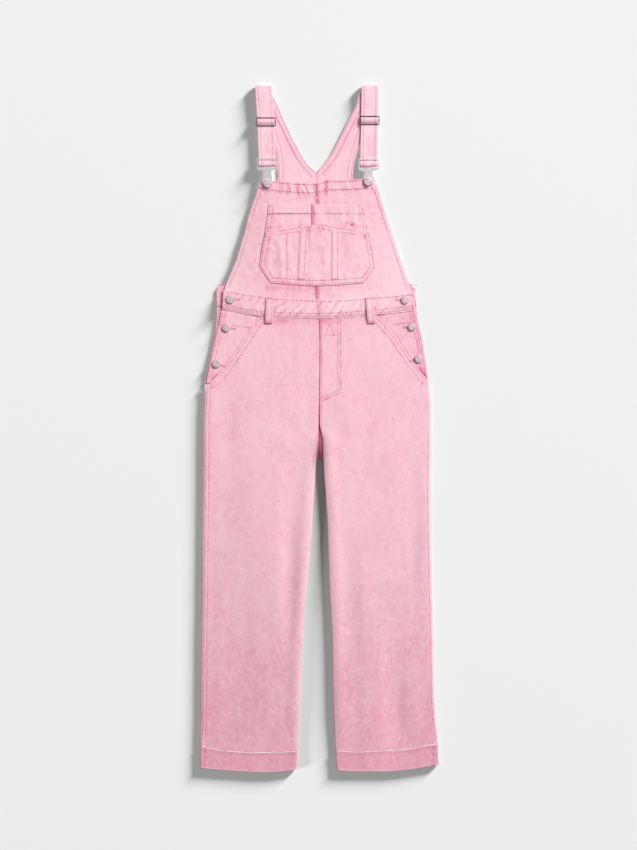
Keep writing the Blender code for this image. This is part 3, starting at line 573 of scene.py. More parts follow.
# %% Thread
# One stitch, from end to end: share of its length, and how thick it is there.
STITCH_SHAPE = ((0.0, 0.25), (0.16, 0.85), (0.5, 1.0), (0.84, 0.85), (1.0, 0.25))
STITCH_SIDES = 5
STITCH_TURNS = np.linspace(0, 2 * math.pi, STITCH_SIDES + 1)[:-1]


def thread(name, points, finish, owner):
    """Closed stitches from an array of stitches by rings by sides."""
    count, rings, sides = points.shape[:3]
    block = np.arange(rings * sides).reshape(rings, sides)
    starts = (np.arange(count) * rings * sides)[:, None, None]
    quads = (ring_quads(block)[None] + starts).reshape(-1, 4)
    caps = np.stack([block[0][::-1], block[-1]])
    caps = (caps[None] + starts).reshape(-1, sides)
    made = link(name, points.reshape(-1, 3), quads.tolist() + caps.tolist())
    sewn_on(made, finish, owner)


def stitches(name, rows, surface, owner, lift=0.12, thickness=0.42, across=0.0):
    """Thread along each row: one low rounded stitch after another, sunk into its groove."""
    centres, directions, lengths = [], [], []
    for line in rows:
        if line["pitch"] <= 0:
            continue
        path = resample(line["path"], line["pitch"])
        step = np.diff(path, axis=0)
        size = np.hypot(step[:, 0], step[:, 1])[:, None]
        if across:
            step = np.stack([-step[:, 1], step[:, 0]], 1)
        centres.append((path[:-1] + path[1:]) / 2)
        directions.append(step / size)
        lengths.append(np.full((len(step), 1), across) if across else size * 0.62)
    middle, along = np.concatenate(centres), np.concatenate(directions)
    length = np.concatenate(lengths)
    side = np.stack([-along[:, 1], along[:, 0]], 1)
    points = np.empty((len(middle), len(STITCH_SHAPE), STITCH_SIDES, 3))
    for i, (share, swell) in enumerate(STITCH_SHAPE):
        spot = middle + along * (share - 0.5) * length
        z = surface(spot[:, 0], spot[:, 1]) + lift * (0.3 + 0.7 * math.sin(math.pi * share))
        for j, turn in enumerate(STITCH_TURNS):
            flat = spot + side * math.cos(turn) * thickness * swell * 1.15
            points[:, i, j, :2] = flat
            points[:, i, j, 2] = z + math.sin(turn) * thickness * swell
    thread(name, points, THREAD, owner)
    if not across:
        needle_marks(name, rows, surface, owner)


print("one stitch has", len(STITCH_SHAPE) * STITCH_SIDES, "points")

# %% Painted shade of the needle holes
MARK_SIDES = 6


def needle_marks(name, rows, surface, owner):
    """A small pressed-in dimple at each needle hole, coloured deep as painted shade of the hole."""
    spots, turns = [], []
    for line in rows:
        if line["pitch"] > 3:
            path = resample(line["path"], line["pitch"])
            way = np.gradient(path, axis=0)
            spots.append(path)
            turns.append(way / np.hypot(way[:, 0], way[:, 1])[:, None])
    if not spots:
        return
    spots, turns = np.concatenate(spots), np.concatenate(turns)
    count = len(spots)
    size = 1.0 + 0.35 * noise(spots[:, 0] / 3.7, spots[:, 1] / 3.7, 61)
    aside = np.stack([-turns[:, 1], turns[:, 0]], 1)
    points = np.empty((count, MARK_SIDES + 1, 3))
    for k in range(MARK_SIDES):
        a = 2 * math.pi * k / MARK_SIDES
        flat = spots + (turns * math.cos(a) * 1.15 + aside * math.sin(a)) * size[:, None]
        points[:, k, :2] = flat
        points[:, k, 2] = surface(flat[:, 0], flat[:, 1]) - 0.06
    points[:, MARK_SIDES, :2] = spots
    points[:, MARK_SIDES, 2] = surface(spots[:, 0], spots[:, 1]) + 0.22
    fan = np.array([(k, (k + 1) % MARK_SIDES, MARK_SIDES) for k in range(MARK_SIDES)])
    faces = (fan[None] + (np.arange(count) * (MARK_SIDES + 1))[:, None, None]).reshape(-1, 3)
    # The marks' deep colour is painted shade of the holes.
    deep = 0.16 + 0.16 * noise(spots[:, 0] / 5.1, spots[:, 1] / 5.1, 62)
    deep = np.repeat(deep, MARK_SIDES + 1)
    name = name.replace("stitching", "needle_marks")
    sewn_on(link(name, points.reshape(-1, 3), faces.tolist(), deep), DENIM, owner)


print("one needle mark has", MARK_SIDES, "sides")

# %% [markdown]
# ## Materials
# The denim is a warp-faced twill: pink warp threads over paler weft, in diagonal ribs under a
# millimetre apart, with slubs along both threads. A photograph of cloth could be used, but a
# woven pattern made from real sizes stays sharp at any distance. The paleness worked out with
# the seams chooses between a deep, a plain and a rubbed colour.

# %% Colours and nodes


def linear(code):
    """Linear colour from an sRGB hex value."""
    shares = [int(code[k:k + 2], 16) / 255 for k in (1, 3, 5)]
    return tuple(((c + 0.055) / 1.055) ** 2.4 if c > 0.04045 else c / 12.92 for c in shares) + (1.0,)


def node(tree, kind, links=None, **settings):
    """Adds one node. A setting that names an input sets it, and links join outputs to inputs."""
    made = tree.nodes.new(kind)
    for key, value in settings.items():
        if key == "ramp":
            while len(made.color_ramp.elements) < len(value):
                made.color_ramp.elements.new(0.5)
            for element, (place, colour) in zip(made.color_ramp.elements, value):
                element.position = place
                element.color = colour
        elif key in made.inputs:
            made.inputs[key].default_value = value
        else:
            setattr(made, key, value)
    for key, source in (links or {}).items():
        tree.links.new(source, made.inputs[key])
    return made


def material(name):
    """Empty node material and its tree."""
    made = bpy.data.materials.new(name)
    made.use_nodes = True
    made.node_tree.nodes.clear()
    return made, made.node_tree


print("mid grey in linear light", round(linear("#808080")[0], 3))

# %% Washed denim
RIB_MM = 0.85
DENIM, tree = material("washed_twill_denim")
place = node(tree, "ShaderNodeTexCoord").outputs["Object"]
pale = node(tree, "ShaderNodeAttribute", attribute_name="pale").outputs["Fac"]
shade = node(tree, "ShaderNodeAttribute", attribute_name="shade").outputs["Fac"]
# Ribs of the twill, rising to the right.
turned = node(tree, "ShaderNodeMapping", {"Vector": place}, Rotation=(0, 0, math.radians(-33)))
ribs = node(
    tree, "ShaderNodeTexWave", {"Vector": turned.outputs["Vector"]},
    Scale=1000 / RIB_MM / 6.2832, Distortion=0.9, Detail=2.0,
).outputs["Fac"]
# Slubs: thin streaks along the warp, and shorter ones along the weft.
streaks = []
for stretch in ((700, 70, 300), (90, 600, 300)):
    drawn = node(tree, "ShaderNodeMapping", {"Vector": place}, Scale=stretch)
    streaks.append(node(
        tree, "ShaderNodeTexNoise", {"Vector": drawn.outputs["Vector"]},
        Scale=1.0, Detail=3.0, Roughness=0.6,
    ).outputs["Fac"])
slubs = node(tree, "ShaderNodeMix", {"A": streaks[0], "B": streaks[1]}, data_type="FLOAT")
slubs.inputs["Factor"].default_value = 0.38
# Heather: blotches of 5 to 20 mm left by the wash.
blotch = node(tree, "ShaderNodeTexNoise", {"Vector": place}, Scale=90.0, Detail=4.0, Roughness=0.62)
streak = node(
    tree, "ShaderNodeMapRange", {"Value": slubs.outputs["Result"]},
    **{"From Min": 0.3, "From Max": 0.7, "To Min": -0.11, "To Max": 0.11},
)
cloud = node(
    tree, "ShaderNodeMapRange", {"Value": blotch.outputs["Fac"]},
    **{"From Min": 0.3, "From Max": 0.7, "To Min": -0.045, "To Max": 0.045},
)
both = {0: streak.outputs["Result"], 1: cloud.outputs["Result"]}
mixed = node(tree, "ShaderNodeMath", both, operation="ADD")
mixed = node(tree, "ShaderNodeMath", {0: mixed.outputs[0], 1: pale}, operation="ADD")
# From the deep colour that a groove keeps to the almost white of a rubbed ridge.
colour = node(tree, "ShaderNodeValToRGB", {"Fac": mixed.outputs[0]}, ramp=(
    (0.0, linear("#c05278")), (0.25, linear("#ea96ae")), (0.5, linear("#f6c2cf")),
    (0.75, linear("#fbd5de")), (1.0, linear("#fee8ec")),
))
fine = node(tree, "ShaderNodeMapRange", {"Value": ribs}, **{"To Min": 0.95, "To Max": 1.03})
# The shade attribute multiplies in the painted light and shade.
fine = node(tree, "ShaderNodeMath", {0: fine.outputs["Result"], 1: shade}, operation="MULTIPLY")
tinted = node(
    tree, "ShaderNodeMix", {"A": colour.outputs["Color"]}, data_type="RGBA", blend_type="MULTIPLY",
)
tinted.inputs["Factor"].default_value = 1.0
tree.links.new(fine.outputs[0], tinted.inputs["B"])
# The weave stands up a tenth of a millimetre and the slubs a little more.
weave = node(tree, "ShaderNodeBump", {"Height": ribs}, Strength=0.35, Distance=0.00012)
weave = node(
    tree, "ShaderNodeBump", {"Height": slubs.outputs["Result"], "Normal": weave.outputs["Normal"]},
    Strength=0.6, Distance=0.0006,
)
# Cotton is dull. Its loose fibre catches a little light at a low angle.
skin = node(
    tree, "ShaderNodeBsdfPrincipled",
    {"Base Color": tinted.outputs["Result"], "Normal": weave.outputs["Normal"]},
    Roughness=0.92, IOR=1.45,
    **{"Sheen Weight": 0.18, "Sheen Roughness": 0.5, "Specular IOR Level": 0.25},
)
node(tree, "ShaderNodeOutputMaterial", {"Surface": skin.outputs["BSDF"]})
print(DENIM.name, "has", len(tree.nodes), "nodes")

# %% [markdown]
# ### Thread and fibre
# The thread is polyester and cotton, dyed with the garment, so it is a little deeper than the cloth
# and shines a little more. The fibre that frays from the hems is undyed and dull. Both get their
# unevenness from noise, because a stitch is too short to show a pattern.

# %% Sewing thread and fray
THREAD, tree = material("dyed_sewing_thread")
place = node(tree, "ShaderNodeTexCoord").outputs["Object"]
ply = node(tree, "ShaderNodeTexNoise", {"Vector": place}, Scale=260.0, Detail=2.0)
colour = node(tree, "ShaderNodeValToRGB", {"Fac": ply.outputs["Fac"]}, ramp=(
    (0.3, linear("#d47090")), (0.55, linear("#e48ea8")), (0.75, linear("#f3b4c5")),
))
twist = node(tree, "ShaderNodeTexWave", {"Vector": place}, Scale=320.0, Distortion=1.0)
bump = node(tree, "ShaderNodeBump", {"Height": twist.outputs["Fac"]}, Strength=0.3, Distance=0.0001)
skin = node(
    tree, "ShaderNodeBsdfPrincipled",
    {"Base Color": colour.outputs["Color"], "Normal": bump.outputs["Normal"]},
    Roughness=0.7, IOR=1.46, **{"Specular IOR Level": 0.3},
)
node(tree, "ShaderNodeOutputMaterial", {"Surface": skin.outputs["BSDF"]})

FRAY, tree = material("frayed_cotton_fibre")
place = node(tree, "ShaderNodeTexCoord").outputs["Object"]
mix = node(tree, "ShaderNodeTexNoise", {"Vector": place}, Scale=400.0)
colour = node(tree, "ShaderNodeValToRGB", {"Fac": mix.outputs["Fac"]}, ramp=(
    (0.35, linear("#f8c4d2")), (0.6, linear("#ffe6ec")),
))
skin = node(
    tree, "ShaderNodeBsdfPrincipled", {"Base Color": colour.outputs["Color"]},
    Roughness=0.9, IOR=1.45,
)
node(tree, "ShaderNodeOutputMaterial", {"Surface": skin.outputs["BSDF"]})
print("thread and fibre:", THREAD.name, FRAY.name)

# %% [markdown]
# ### Metals
# The hooks are plated with satin nickel, which is slightly warm and scuffed by washing. The sliders
# are bent from darker, glossier wire. The buttons are a zinc alloy, tumbled by the wash until they
# are dull and a little pink with dye. All three are metals with a rough skin, so noise drives the
# colour and the roughness, and a bump gives the buttons their fine pits.

# %% Nickel, wire and button alloy
METAL, tree = material("satin_nickel")
place = node(tree, "ShaderNodeTexCoord").outputs["Object"]
scuff = node(tree, "ShaderNodeTexNoise", {"Vector": place}, Scale=900.0, Detail=5.0, Roughness=0.7)
rough = node(
    tree, "ShaderNodeMapRange", {"Value": scuff.outputs["Fac"]},
    **{"From Min": 0.3, "From Max": 0.7, "To Min": 0.32, "To Max": 0.5},
)
tint = node(tree, "ShaderNodeValToRGB", {"Fac": scuff.outputs["Fac"]}, ramp=(
    (0.3, linear("#e0dadb")), (0.7, linear("#f6f2f2")),
))
bump = node(tree, "ShaderNodeBump", {"Height": scuff.outputs["Fac"]}, Strength=0.15, Distance=0.0001)
skin = node(tree, "ShaderNodeBsdfPrincipled", {
    "Base Color": tint.outputs["Color"], "Roughness": rough.outputs["Result"],
    "Normal": bump.outputs["Normal"],
}, Metallic=1.0)
node(tree, "ShaderNodeOutputMaterial", {"Surface": skin.outputs["BSDF"]})

WIRE, tree = material("polished_steel_wire")
place = node(tree, "ShaderNodeTexCoord").outputs["Object"]
scuff = node(tree, "ShaderNodeTexNoise", {"Vector": place}, Scale=700.0, Detail=4.0)
tint = node(tree, "ShaderNodeValToRGB", {"Fac": scuff.outputs["Fac"]}, ramp=(
    (0.3, linear("#706468")), (0.7, linear("#968a8e")),
))
skin = node(
    tree, "ShaderNodeBsdfPrincipled", {"Base Color": tint.outputs["Color"]},
    Roughness=0.3, Metallic=1.0,
)
node(tree, "ShaderNodeOutputMaterial", {"Surface": skin.outputs["BSDF"]})

WORN, tree = material("washed_button_alloy")
place = node(tree, "ShaderNodeTexCoord").outputs["Object"]
pits = node(tree, "ShaderNodeTexVoronoi", {"Vector": place}, Scale=620.0)
grime = node(tree, "ShaderNodeTexNoise", {"Vector": place}, Scale=240.0, Detail=3.0)
both = {0: pits.outputs["Distance"], 1: grime.outputs["Fac"]}
both = node(tree, "ShaderNodeMath", both, operation="ADD")
tint = node(tree, "ShaderNodeValToRGB", {"Fac": both.outputs[0]}, ramp=(
    (0.5, linear("#96767e")), (0.85, linear("#c4aab0")), (1.1, linear("#decace")),
))
bump = node(tree, "ShaderNodeBump", {"Height": both.outputs[0]}, Strength=0.5, Distance=0.0003)
skin = node(
    tree, "ShaderNodeBsdfPrincipled",
    {"Base Color": tint.outputs["Color"], "Normal": bump.outputs["Normal"]},
    Roughness=0.62, Metallic=0.75,
)
node(tree, "ShaderNodeOutputMaterial", {"Surface": skin.outputs["BSDF"]})
print("materials", [m.name for m in bpy.data.materials])

# %% [markdown]
# ## Front legs
# Each front leg is one wide piece. It lies level, with its long edges rolled down to the back
# leg where the outseam and the inseam close. Above the hip its outer edge is the open, slanted
# pocket mouth. Columns crowd at the edges, where the cloth turns.

# %% Rows of stitching on the legs
RIGHT_POCKET_LINE = [(x, y) for y, x in RIGHT_POCKET[1:]]
LEFT_POCKET_LINE = [(x, y) for y, x in LEFT_POCKET[1:]]
FLY = [(46.6, 231), (46.6, 88), (44.5, 79), (36.5, 71), (20, 63), (4, 57)]
TRIANGLE = [(14, 197), (23, 219), (34, 196), (14, 197)]


def outline(table, high, low, step=14):
    """Points along an outline table, from high to low."""
    ys = np.arange(high, low, -step)
    return np.stack([look(table, ys), ys], 1)


RIGHT_SIDE = outline(RIGHT_OUTSEAM, 90, -664)
LEFT_SIDE = outline(LEFT_OUTSEAM, 60, -664)
LEG_ROWS = {
    "right": [
        row(beside(RIGHT_POCKET_LINE, 3.5), groove=0.24, pucker=0.18, reach=4, wave=6, seed=1),
        row(beside(RIGHT_POCKET_LINE, 12.0), groove=0.24, pucker=0.20, reach=5, wave=7, seed=2),
        row(beside(RIGHT_SIDE, 5.0), groove=0.2, pucker=0.15, reach=4, wave=6, seed=3),
        row(beside(RIGHT_SIDE, 11.5), groove=0.2, pucker=0.15, reach=5, wave=7, seed=4),
        row([(-1.6, 231), (-0.6, 60), (-1.0, -20)], groove=0.10, pucker=0.04, pitch=0, seed=5),
    ],
    "left": [
        row(beside(LEFT_POCKET_LINE, -3.5), groove=0.24, pucker=0.18, reach=4, wave=6, seed=6),
        row(beside(LEFT_POCKET_LINE, -12.0), groove=0.24, pucker=0.20, reach=5, wave=7, seed=7),
        row(beside(LEFT_SIDE, -6.0), groove=0.12, pucker=0.08, reach=5, seed=8),
        row([(5.4, 231), (5.6, 60), (6.0, 0)], groove=0.14, pucker=0.06, seed=9),
        row(FLY, groove=0.20, pucker=0.15, reach=7, seed=10),
        row(beside(FLY, -6.0), groove=0.16, pucker=0.10, seed=11),
        # Bar tacks of the fly, and a small sewn triangle.
        row([(28, 196), (44, 195.5)], groove=0.12, pucker=0.1, pitch=1.6, seed=12),
        row(TRIANGLE, groove=0.14, pucker=0.12, reach=4, pitch=3.4, seed=14),
        row([(10, 62), (22, 66)], groove=0.12, pucker=0.1, pitch=1.6, seed=13),
    ],
}
print("rows on the legs", len(LEG_ROWS["right"]), len(LEG_ROWS["left"]))

# %% Form and wear of a front leg
# Distances from the edges at which columns of points stand, where the cloth turns.
NEAR_OUTSEAM = np.array([0, 0, 0.25, 0.6, 1.1, 1.8, 2.7, 3.9, 5.3, 6.9, 8.6, 10.4, 12.2, 14.0])
NEAR_INSEAM = np.array([13.0, 11.0, 9.0, 7.2, 5.5, 4.0, 2.8, 1.8, 1.0, 0.45, 0, 0])
LEVEL_COLUMNS = 46
HEM_SWING = -590


def hem_line(hem, x, column=1):
    """Height of a hem's edge in the outline, evened over 40 mm."""
    return sum(look(hem, x + d, column) for d in (-20, -10, 0, 10, 20)) / 5


def to_hem(hem, x, y, gap):
    """Heights that swing onto the hem's own line over the last part of a leg."""
    end = hem_line(hem, x) + gap
    return np.where(y < HEM_SWING, y + (end - LEG_END) * (1 - ease(LEG_END, HEM_SWING, y)), y + 0 * x)


def leg_form(level, y, from_out, from_in, closed, parted):
    """Height of a front leg: its outseam turns down where closed, its inseam below the crotch."""
    fall = level - LEG_UNDERSIDE - 1.2
    puff = 2.0 * parted * ease(-668, HEM_SWING, y) * hill(from_in - 15, 11)
    inner = parted * fall + (1 - parted) * 0.5
    down = closed * fall * rolled(from_out, EDGE_ROUND)
    return level + puff - down - inner * rolled(from_in, INSEAM_ROUND)


def leg_paleness(x, y, real, from_out, from_in, closed, parted):
    """Paleness of a front leg: rubbed edges, deep seams and specks on the lower legs, with painted shade
    in the centre seam, at the crotch, on the closed outseam's edge and under the waistband.
    """
    pale = 0.08 * hill(from_in - 3.0, 3.0) * parted
    # Painted shade in the centre seam's gap, where the two legs meet above the crotch.
    pale -= 0.45 * (1 - parted) * (1 - ease(0, 1.7, from_in))
    pale += 0.26 * (1 - closed) * hill(from_out - 0.8, 1.5)
    pale += 0.08 * hill(from_out - 1.8, 1.6) + 0.06 * hill(from_out - 8.0, 2.0)
    # Painted shade on the closed outseam's turned edge tones down the light that it catches.
    pale -= 0.04 * closed * (1 - ease(0, 1.2, from_out))
    # Below the crotch point the two legs part, and painted shade deepens their turned edges there.
    pale -= 0.26 * hill(y + 30, 24) * (1 - ease(0, 8.0, from_in))
    # Small pale specks of rubbed weft, most on the lower legs.
    specks = np.maximum(0, noise(x / 2.3, y / 2.6, 51) + noise(x / 4.1, y / 5.0, 52) - 0.65)
    pale += specks * (0.08 + 0.09 * (1 - ease(-560, -60, y)))
    pale -= 0.10 * ease(-250, -650, y) + 0.03 * ease(120, 240, y)
    # The shade under the waistband's lower edge, deeper in four places.
    pale -= 0.05 * hill(real - 232, 9)
    for at, low, reach in ((-164, 232, 24), (-79, 226, 26), (18, 228, 22), (150, 232, 26)):
        pale -= 0.17 * hill(x - at, reach) * hill(real - low, 8)
    return pale + 0.05 * lines(x, y, CREASES)


print("columns over a leg", len(NEAR_OUTSEAM) + LEVEL_COLUMNS - 2 + len(NEAR_INSEAM))

# %% Front legs


def front_leg(side, outer, inner, hem, pocket, rows):
    mouth_end = min(r[0] for r in pocket)

    def out_edge(y):
        return np.where(y > mouth_end, look(pocket, y), look(outer, y))

    def seams(y):
        """How far the outseam is closed and the legs are parted at a height."""
        return 1 - ease(mouth_end - 26, mouth_end - 2, y), 1 - ease(-24, 6, y)

    fine_rows = np.arange(246, -80, -1.8), np.arange(-80, -640, -2.7), np.linspace(-640, LEG_END, 14)
    y = np.concatenate(fine_rows)[:, None]
    x_out, x_in = out_edge(y), look(inner, y)
    toward = np.sign(look(inner, 0) - look(outer, 0))
    width = np.abs(x_in - x_out)
    middle = np.linspace(0, 1, LEVEL_COLUMNS)[1:-1]
    level_width = width - NEAR_OUTSEAM[-1] - NEAR_INSEAM[0]
    from_out = np.concatenate([
        np.broadcast_to(NEAR_OUTSEAM, (len(y), len(NEAR_OUTSEAM))),
        NEAR_OUTSEAM[-1] + level_width * middle,
        width - NEAR_INSEAM,
    ], 1)
    from_in = width - from_out
    x = x_out + toward * from_out
    closed, parted = seams(y)
    z = leg_form(rise(x, y), y, from_out, from_in, closed, parted)
    height, pale = wear_and_painted_light(x, y + 0 * x, rows)
    z += height * np.minimum(1, np.minimum(from_out, from_in) / 2.0)
    # The outermost column goes down to the back leg, or lies just under the edge where it is free.
    for column, free in ((0, closed), (-1, parted)):
        rim = z[:, column]
        z[:, column] = rim - 0.05 - free[:, 0] * (rim - LEG_UNDERSIDE - 0.05)
    real = to_hem(hem, x, y, SEAM + 0.15)
    pale += leg_paleness(x, y, real, from_out, from_in, closed, parted)
    made = shell("cloth_front_leg_" + side, np.stack([x, real, z], -1), CLOTH, pale)

    def surface(px, py):
        from_out, from_in = np.abs(px - out_edge(py)), np.abs(px - look(inner, py))
        return leg_form(rise(px, py), py, from_out, from_in, *seams(py)) + wear_and_painted_light(px, py, rows)[0]

    stitches("stitching_front_leg_" + side, rows, surface, made.name)
    return surface


leg_surface = {
    "right": front_leg("right", RIGHT_OUTSEAM, RIGHT_INSEAM, RIGHT_HEM, RIGHT_POCKET, LEG_ROWS["right"]),
    "left": front_leg("left", LEFT_OUTSEAM, LEFT_INSEAM, LEFT_HEM, LEFT_POCKET, LEG_ROWS["left"]),
}
legs = [o for o in bpy.data.objects if o.name.startswith("cloth_front_leg")]
print("front legs", [len(o.data.polygons) for o in legs])

# %% [markdown]
# ## Flat panels
# Pocket facings, waistbands, the bib and its pocket, and the back all lie nearly level, so one
# function lays a grid between a left and a right edge. Each is as high as what it lies on.

# %% One level piece


def panel(name, ys, across, left, right, top, thick, rows, bend=None, tone=None, edge=0.15):
    """Level piece: top gives its height, rows its stitching, tone a change of paleness."""
    y = np.array(ys, float)[:, None]
    share = np.asarray(across, float)[None]
    x0, x1 = left(y), right(y)
    x = x0 + (x1 - x0) * share
    real = bend(x, y + 0 * x) if bend else y + 0 * x
    height, pale = wear_and_painted_light(x, real, rows)
    z = top(x, real) + height
    # Edges turn down a little, and painted shade on them tones down the light that they catch.
    rim = np.minimum(np.minimum(x - x0, x1 - x), np.minimum(np.abs(y - y[0]), np.abs(y - y[-1])))
    z -= edge * (1 - ease(0, 1.6, rim))
    pale -= 0.16 * (1 - ease(0, 1.8, rim))
    if tone is not None:
        pale += tone(x, real)
    made = shell("cloth_" + name, np.stack([x, real, z], -1), thick, pale, straight=True)

    def surface(px, py):
        return top(px, py) + wear_and_painted_light(px, py, rows)[0]

    if any(line["pitch"] > 0 for line in rows):
        stitches("stitching_" + name, rows, surface, made.name)
    return surface


def even(low, high, step):
    return np.linspace(low, high, max(3, int(abs(high - low) / step) + 1))


def columns(count):
    """Shares across a piece, with extra columns near both edges."""
    body = np.linspace(0, 1, count)
    extra = np.array([0.25, 0.5, 1.0, 1.6]) / count
    return np.unique(np.round(np.concatenate([body, extra, 1 - extra]), 5))


print("columns of a narrow strip", len(columns(15)))

# %% [markdown]
# ### Pocket facings
# A facing fills the corner outside the slanted pocket mouth and goes a little way under the leg.
# It carries two of the side buttons. It could be cut out of the back leg, but a maker sews it on.

# %% Pocket facings
FACING_TOP = 262
FACING_BARS = {
    "right": [
        row([(-206, 219), (-140, 212)], groove=0.25, pucker=0.18, reach=5, seed=22),
        row([(-213, 190), (-156, 184)], groove=0.12, pucker=0.08, reach=4, pitch=0, seed=23),
    ],
    "left": [
        row([(160, 219), (203, 224)], groove=0.25, pucker=0.18, reach=5, seed=24),
        row([(168, 196), (208, 190)], groove=0.12, pucker=0.10, reach=5, pitch=0, seed=25),
    ],
}


def facing(side, edge, pocket, sign):
    tip = min(r[0] for r in pocket) + 0.8
    path = np.array([(x, y) for y, x in edge], float)
    rows = [
        row(beside(path, 3.0 * sign), pucker=0.12, seed=20),
        row(beside(path, 9.0 * sign), pucker=0.10, seed=21),
    ] + FACING_BARS[side]

    def beyond(x, y):
        """Distance outward from the pocket mouth."""
        return (look(pocket, np.minimum(y, 250)) - x) * sign

    def outer_x(y):
        # Below the outline table the edge is led on to the pocket's end.
        return look(edge, y) - sign * 0.16 * np.maximum(0, 106 - y)

    def inner_x(y):
        return look(pocket, np.minimum(y, 236)) + sign * (5 + 9 * ease(tip + 16, tip + 56, y))

    def top(x, y):
        out = beyond(x, y)
        lifted = 1.1 * ease(205, 235, y) * ease(4, 24, out)
        return rise(x, y) - CLOTH - LAY - 0.35 * ease(8, 40, out) + lifted

    def tone(x, y):
        out = beyond(x, y)
        # Painted shade beside the pocket mouth under the leg's edge, and under the waistband; painted
        # light over the left facing; painted shade in the corner where the mouth ends.
        shade = -0.15 * hill(out - 1.5, 3.0) - 0.04 * hill(y - 238, 8)
        shade = shade + (0.10 if side == "left" else 0.02)
        return shade - 0.30 * hill(y - tip - 14, 13) * hill(out - 3, 7)

    return panel(
        "pocket_facing_" + side, even(FACING_TOP, tip, 1.8), columns(46), outer_x, inner_x, top,
        CLOTH, rows, tone=tone,
    )


facing_surface = {
    "right": facing("right", RIGHT_FACING, RIGHT_POCKET, 1),
    "left": facing("left", LEFT_FACING, LEFT_POCKET, -1),
}
print("facings end at", min(r[0] for r in RIGHT_POCKET), min(r[0] for r in LEFT_POCKET))

# %% [markdown]
# ### Front waistband
# The waistband is a folded band, sewn on with one row above and two below. Its lower edge is drawn
# down onto the legs, and the wash has left slanted marks across it. The grid follows the band's own
# curve, so that rows of points run along the seams.

# %% Rows of the waistband
WAIST_XS = np.linspace(-199, 199, 60)
WAIST_TOP_LINE = np.stack([WAIST_XS, look(WAIST_TOP, WAIST_XS)], 1)
WAIST_BOTTOM_LINE = np.stack([WAIST_XS, look(WAIST_BOTTOM, WAIST_XS)], 1)
WAIST_ROWS = [
    row(WAIST_TOP_LINE - (0, 3.0), groove=0.22, pucker=0.22, reach=7, wave=8, seed=30),
    row(WAIST_BOTTOM_LINE + (0, 3.2), groove=0.24, pucker=0.2, reach=6, wave=7, seed=31),
    row(WAIST_BOTTOM_LINE + (0, 10.5), groove=0.24, pucker=0.2, reach=7, wave=8, seed=32),
]
WAIST_ENDS = {
    "right": [
        row([(-198, 284), (-200, 256)], seed=33), row([(-3.6, 268), (-3.2, 234)], groove=0.25, seed=34),
    ],
    "left": [
        row([(199, 280), (197.5, 251)], seed=35), row([(3.0, 268), (3.2, 234)], groove=0.25, seed=36),
    ],
}
print("waistband rows", len(WAIST_ROWS) + len(WAIST_ENDS["right"]))

# %% Front waistband
WAIST_COLUMNS = 150
WAIST_GRID_ROWS = 34
BAND_DEPTH = 42


def waist_height(x, y):
    sag = 0.9 * ease(128, 170, np.abs(x)) * (1 - ease(246, 262, y))
    slack = 0.16 * noise(x / 11, y / 30, 7) + 0.10 * noise((x + y * 0.5) / 5, y / 22, 8)
    return WAIST_LEVEL - sag + slack


def waist_sink(share):
    """How far the band's lower edge is drawn down onto the legs."""
    return 1.45 * ease(0.74, 0.97, share)


def waist_marks_and_shade(x, y, share, rim):
    """Slanted wash marks across the band, with painted shade under and beside the belt loops and on the
    rims.
    """
    mark = np.sin((x - y * 0.8) / 3.0 + 2.5 * noise(x / 23, y / 30, 9))
    pale = 0.06 + 0.15 * mark * (0.5 + 0.5 * noise(x / 40, y / 40, 10))
    pale += 0.10 * noise((x - y) / 4.0, (x + y) / 16.0, 54)
    # Painted shade under and beside the belt loops.
    for loop in (-103, 108):
        pale -= 0.24 * hill(x - loop, 13)
    # The rims get painted shade, which tones down the light that they catch.
    return pale + 0.10 * ease(0.86, 0.99, share) - 0.04 * (1 - ease(0, 1.5, rim)) - 0.02


def waistband(side, x0, x1):
    name = "cloth_front_waistband_" + side
    rows = WAIST_ROWS + WAIST_ENDS[side]
    x = np.linspace(x0, x1, WAIST_COLUMNS)[None] + np.zeros((WAIST_GRID_ROWS, 1))
    share = np.linspace(0, 1, WAIST_GRID_ROWS)[:, None]
    y = look(WAIST_TOP, x) + (look(WAIST_BOTTOM, x) - look(WAIST_TOP, x)) * share
    height, pale = wear_and_painted_light(x, y, rows)
    rim = np.minimum(np.minimum(x - x0, x1 - x), BAND_DEPTH * np.minimum(share, 1 - share))
    z = waist_height(x, y) + height - waist_sink(share) - 0.3 * (1 - ease(0, 1.6, rim))
    slant = ease(180, 200, np.abs(x)) * (share - 0.3) * np.where(x < 0, -2.6, -1.2)
    pale += waist_marks_and_shade(x, y, share, rim)
    thick = (BAND_CLOTH - waist_sink(share))[..., None]
    made = shell(name, np.stack([x + slant, y, z], -1), thick, pale, straight=True)

    def surface(px, py):
        high = look(WAIST_TOP, px)
        down = (high - py) / (high - look(WAIST_BOTTOM, px))
        return waist_height(px, py) - waist_sink(down) + wear_and_painted_light(px, py, rows)[0]

    sewn = []
    for line in rows:
        xs = line["path"][:, 0]
        path = line["path"][(xs > x0 + 1) & (xs < x1 - 1)]
        if len(path) > 1:
            sewn.append(dict(line, path=path))
    stitches(name.replace("cloth", "stitching"), sewn, surface, made.name)
    return surface


# Both halves share one height, so the right one's surface also serves the buttonhole on the left.
waist_surface = waistband("right", -201.0, -0.65)
waistband("left", -0.35, 202.0)
print("waistband columns", WAIST_COLUMNS, "on each half")

# %% [markdown]
# ## Bib
# Two halves meet at the centre seam. The top and side hems are turned over, so they stand a
# little proud, and the top hem is drawn into upright puckers. The puckers could be sculpted, but a
# wave along the seam keeps them as regular as a machine makes them.

# %% Bib halves
BIB_XS = np.linspace(-118, 114, 50)
BIB_HEM = np.stack([BIB_XS, look(BIB_TOP, BIB_XS) - 20.0], 1)
BIB_TOP_Y = 522
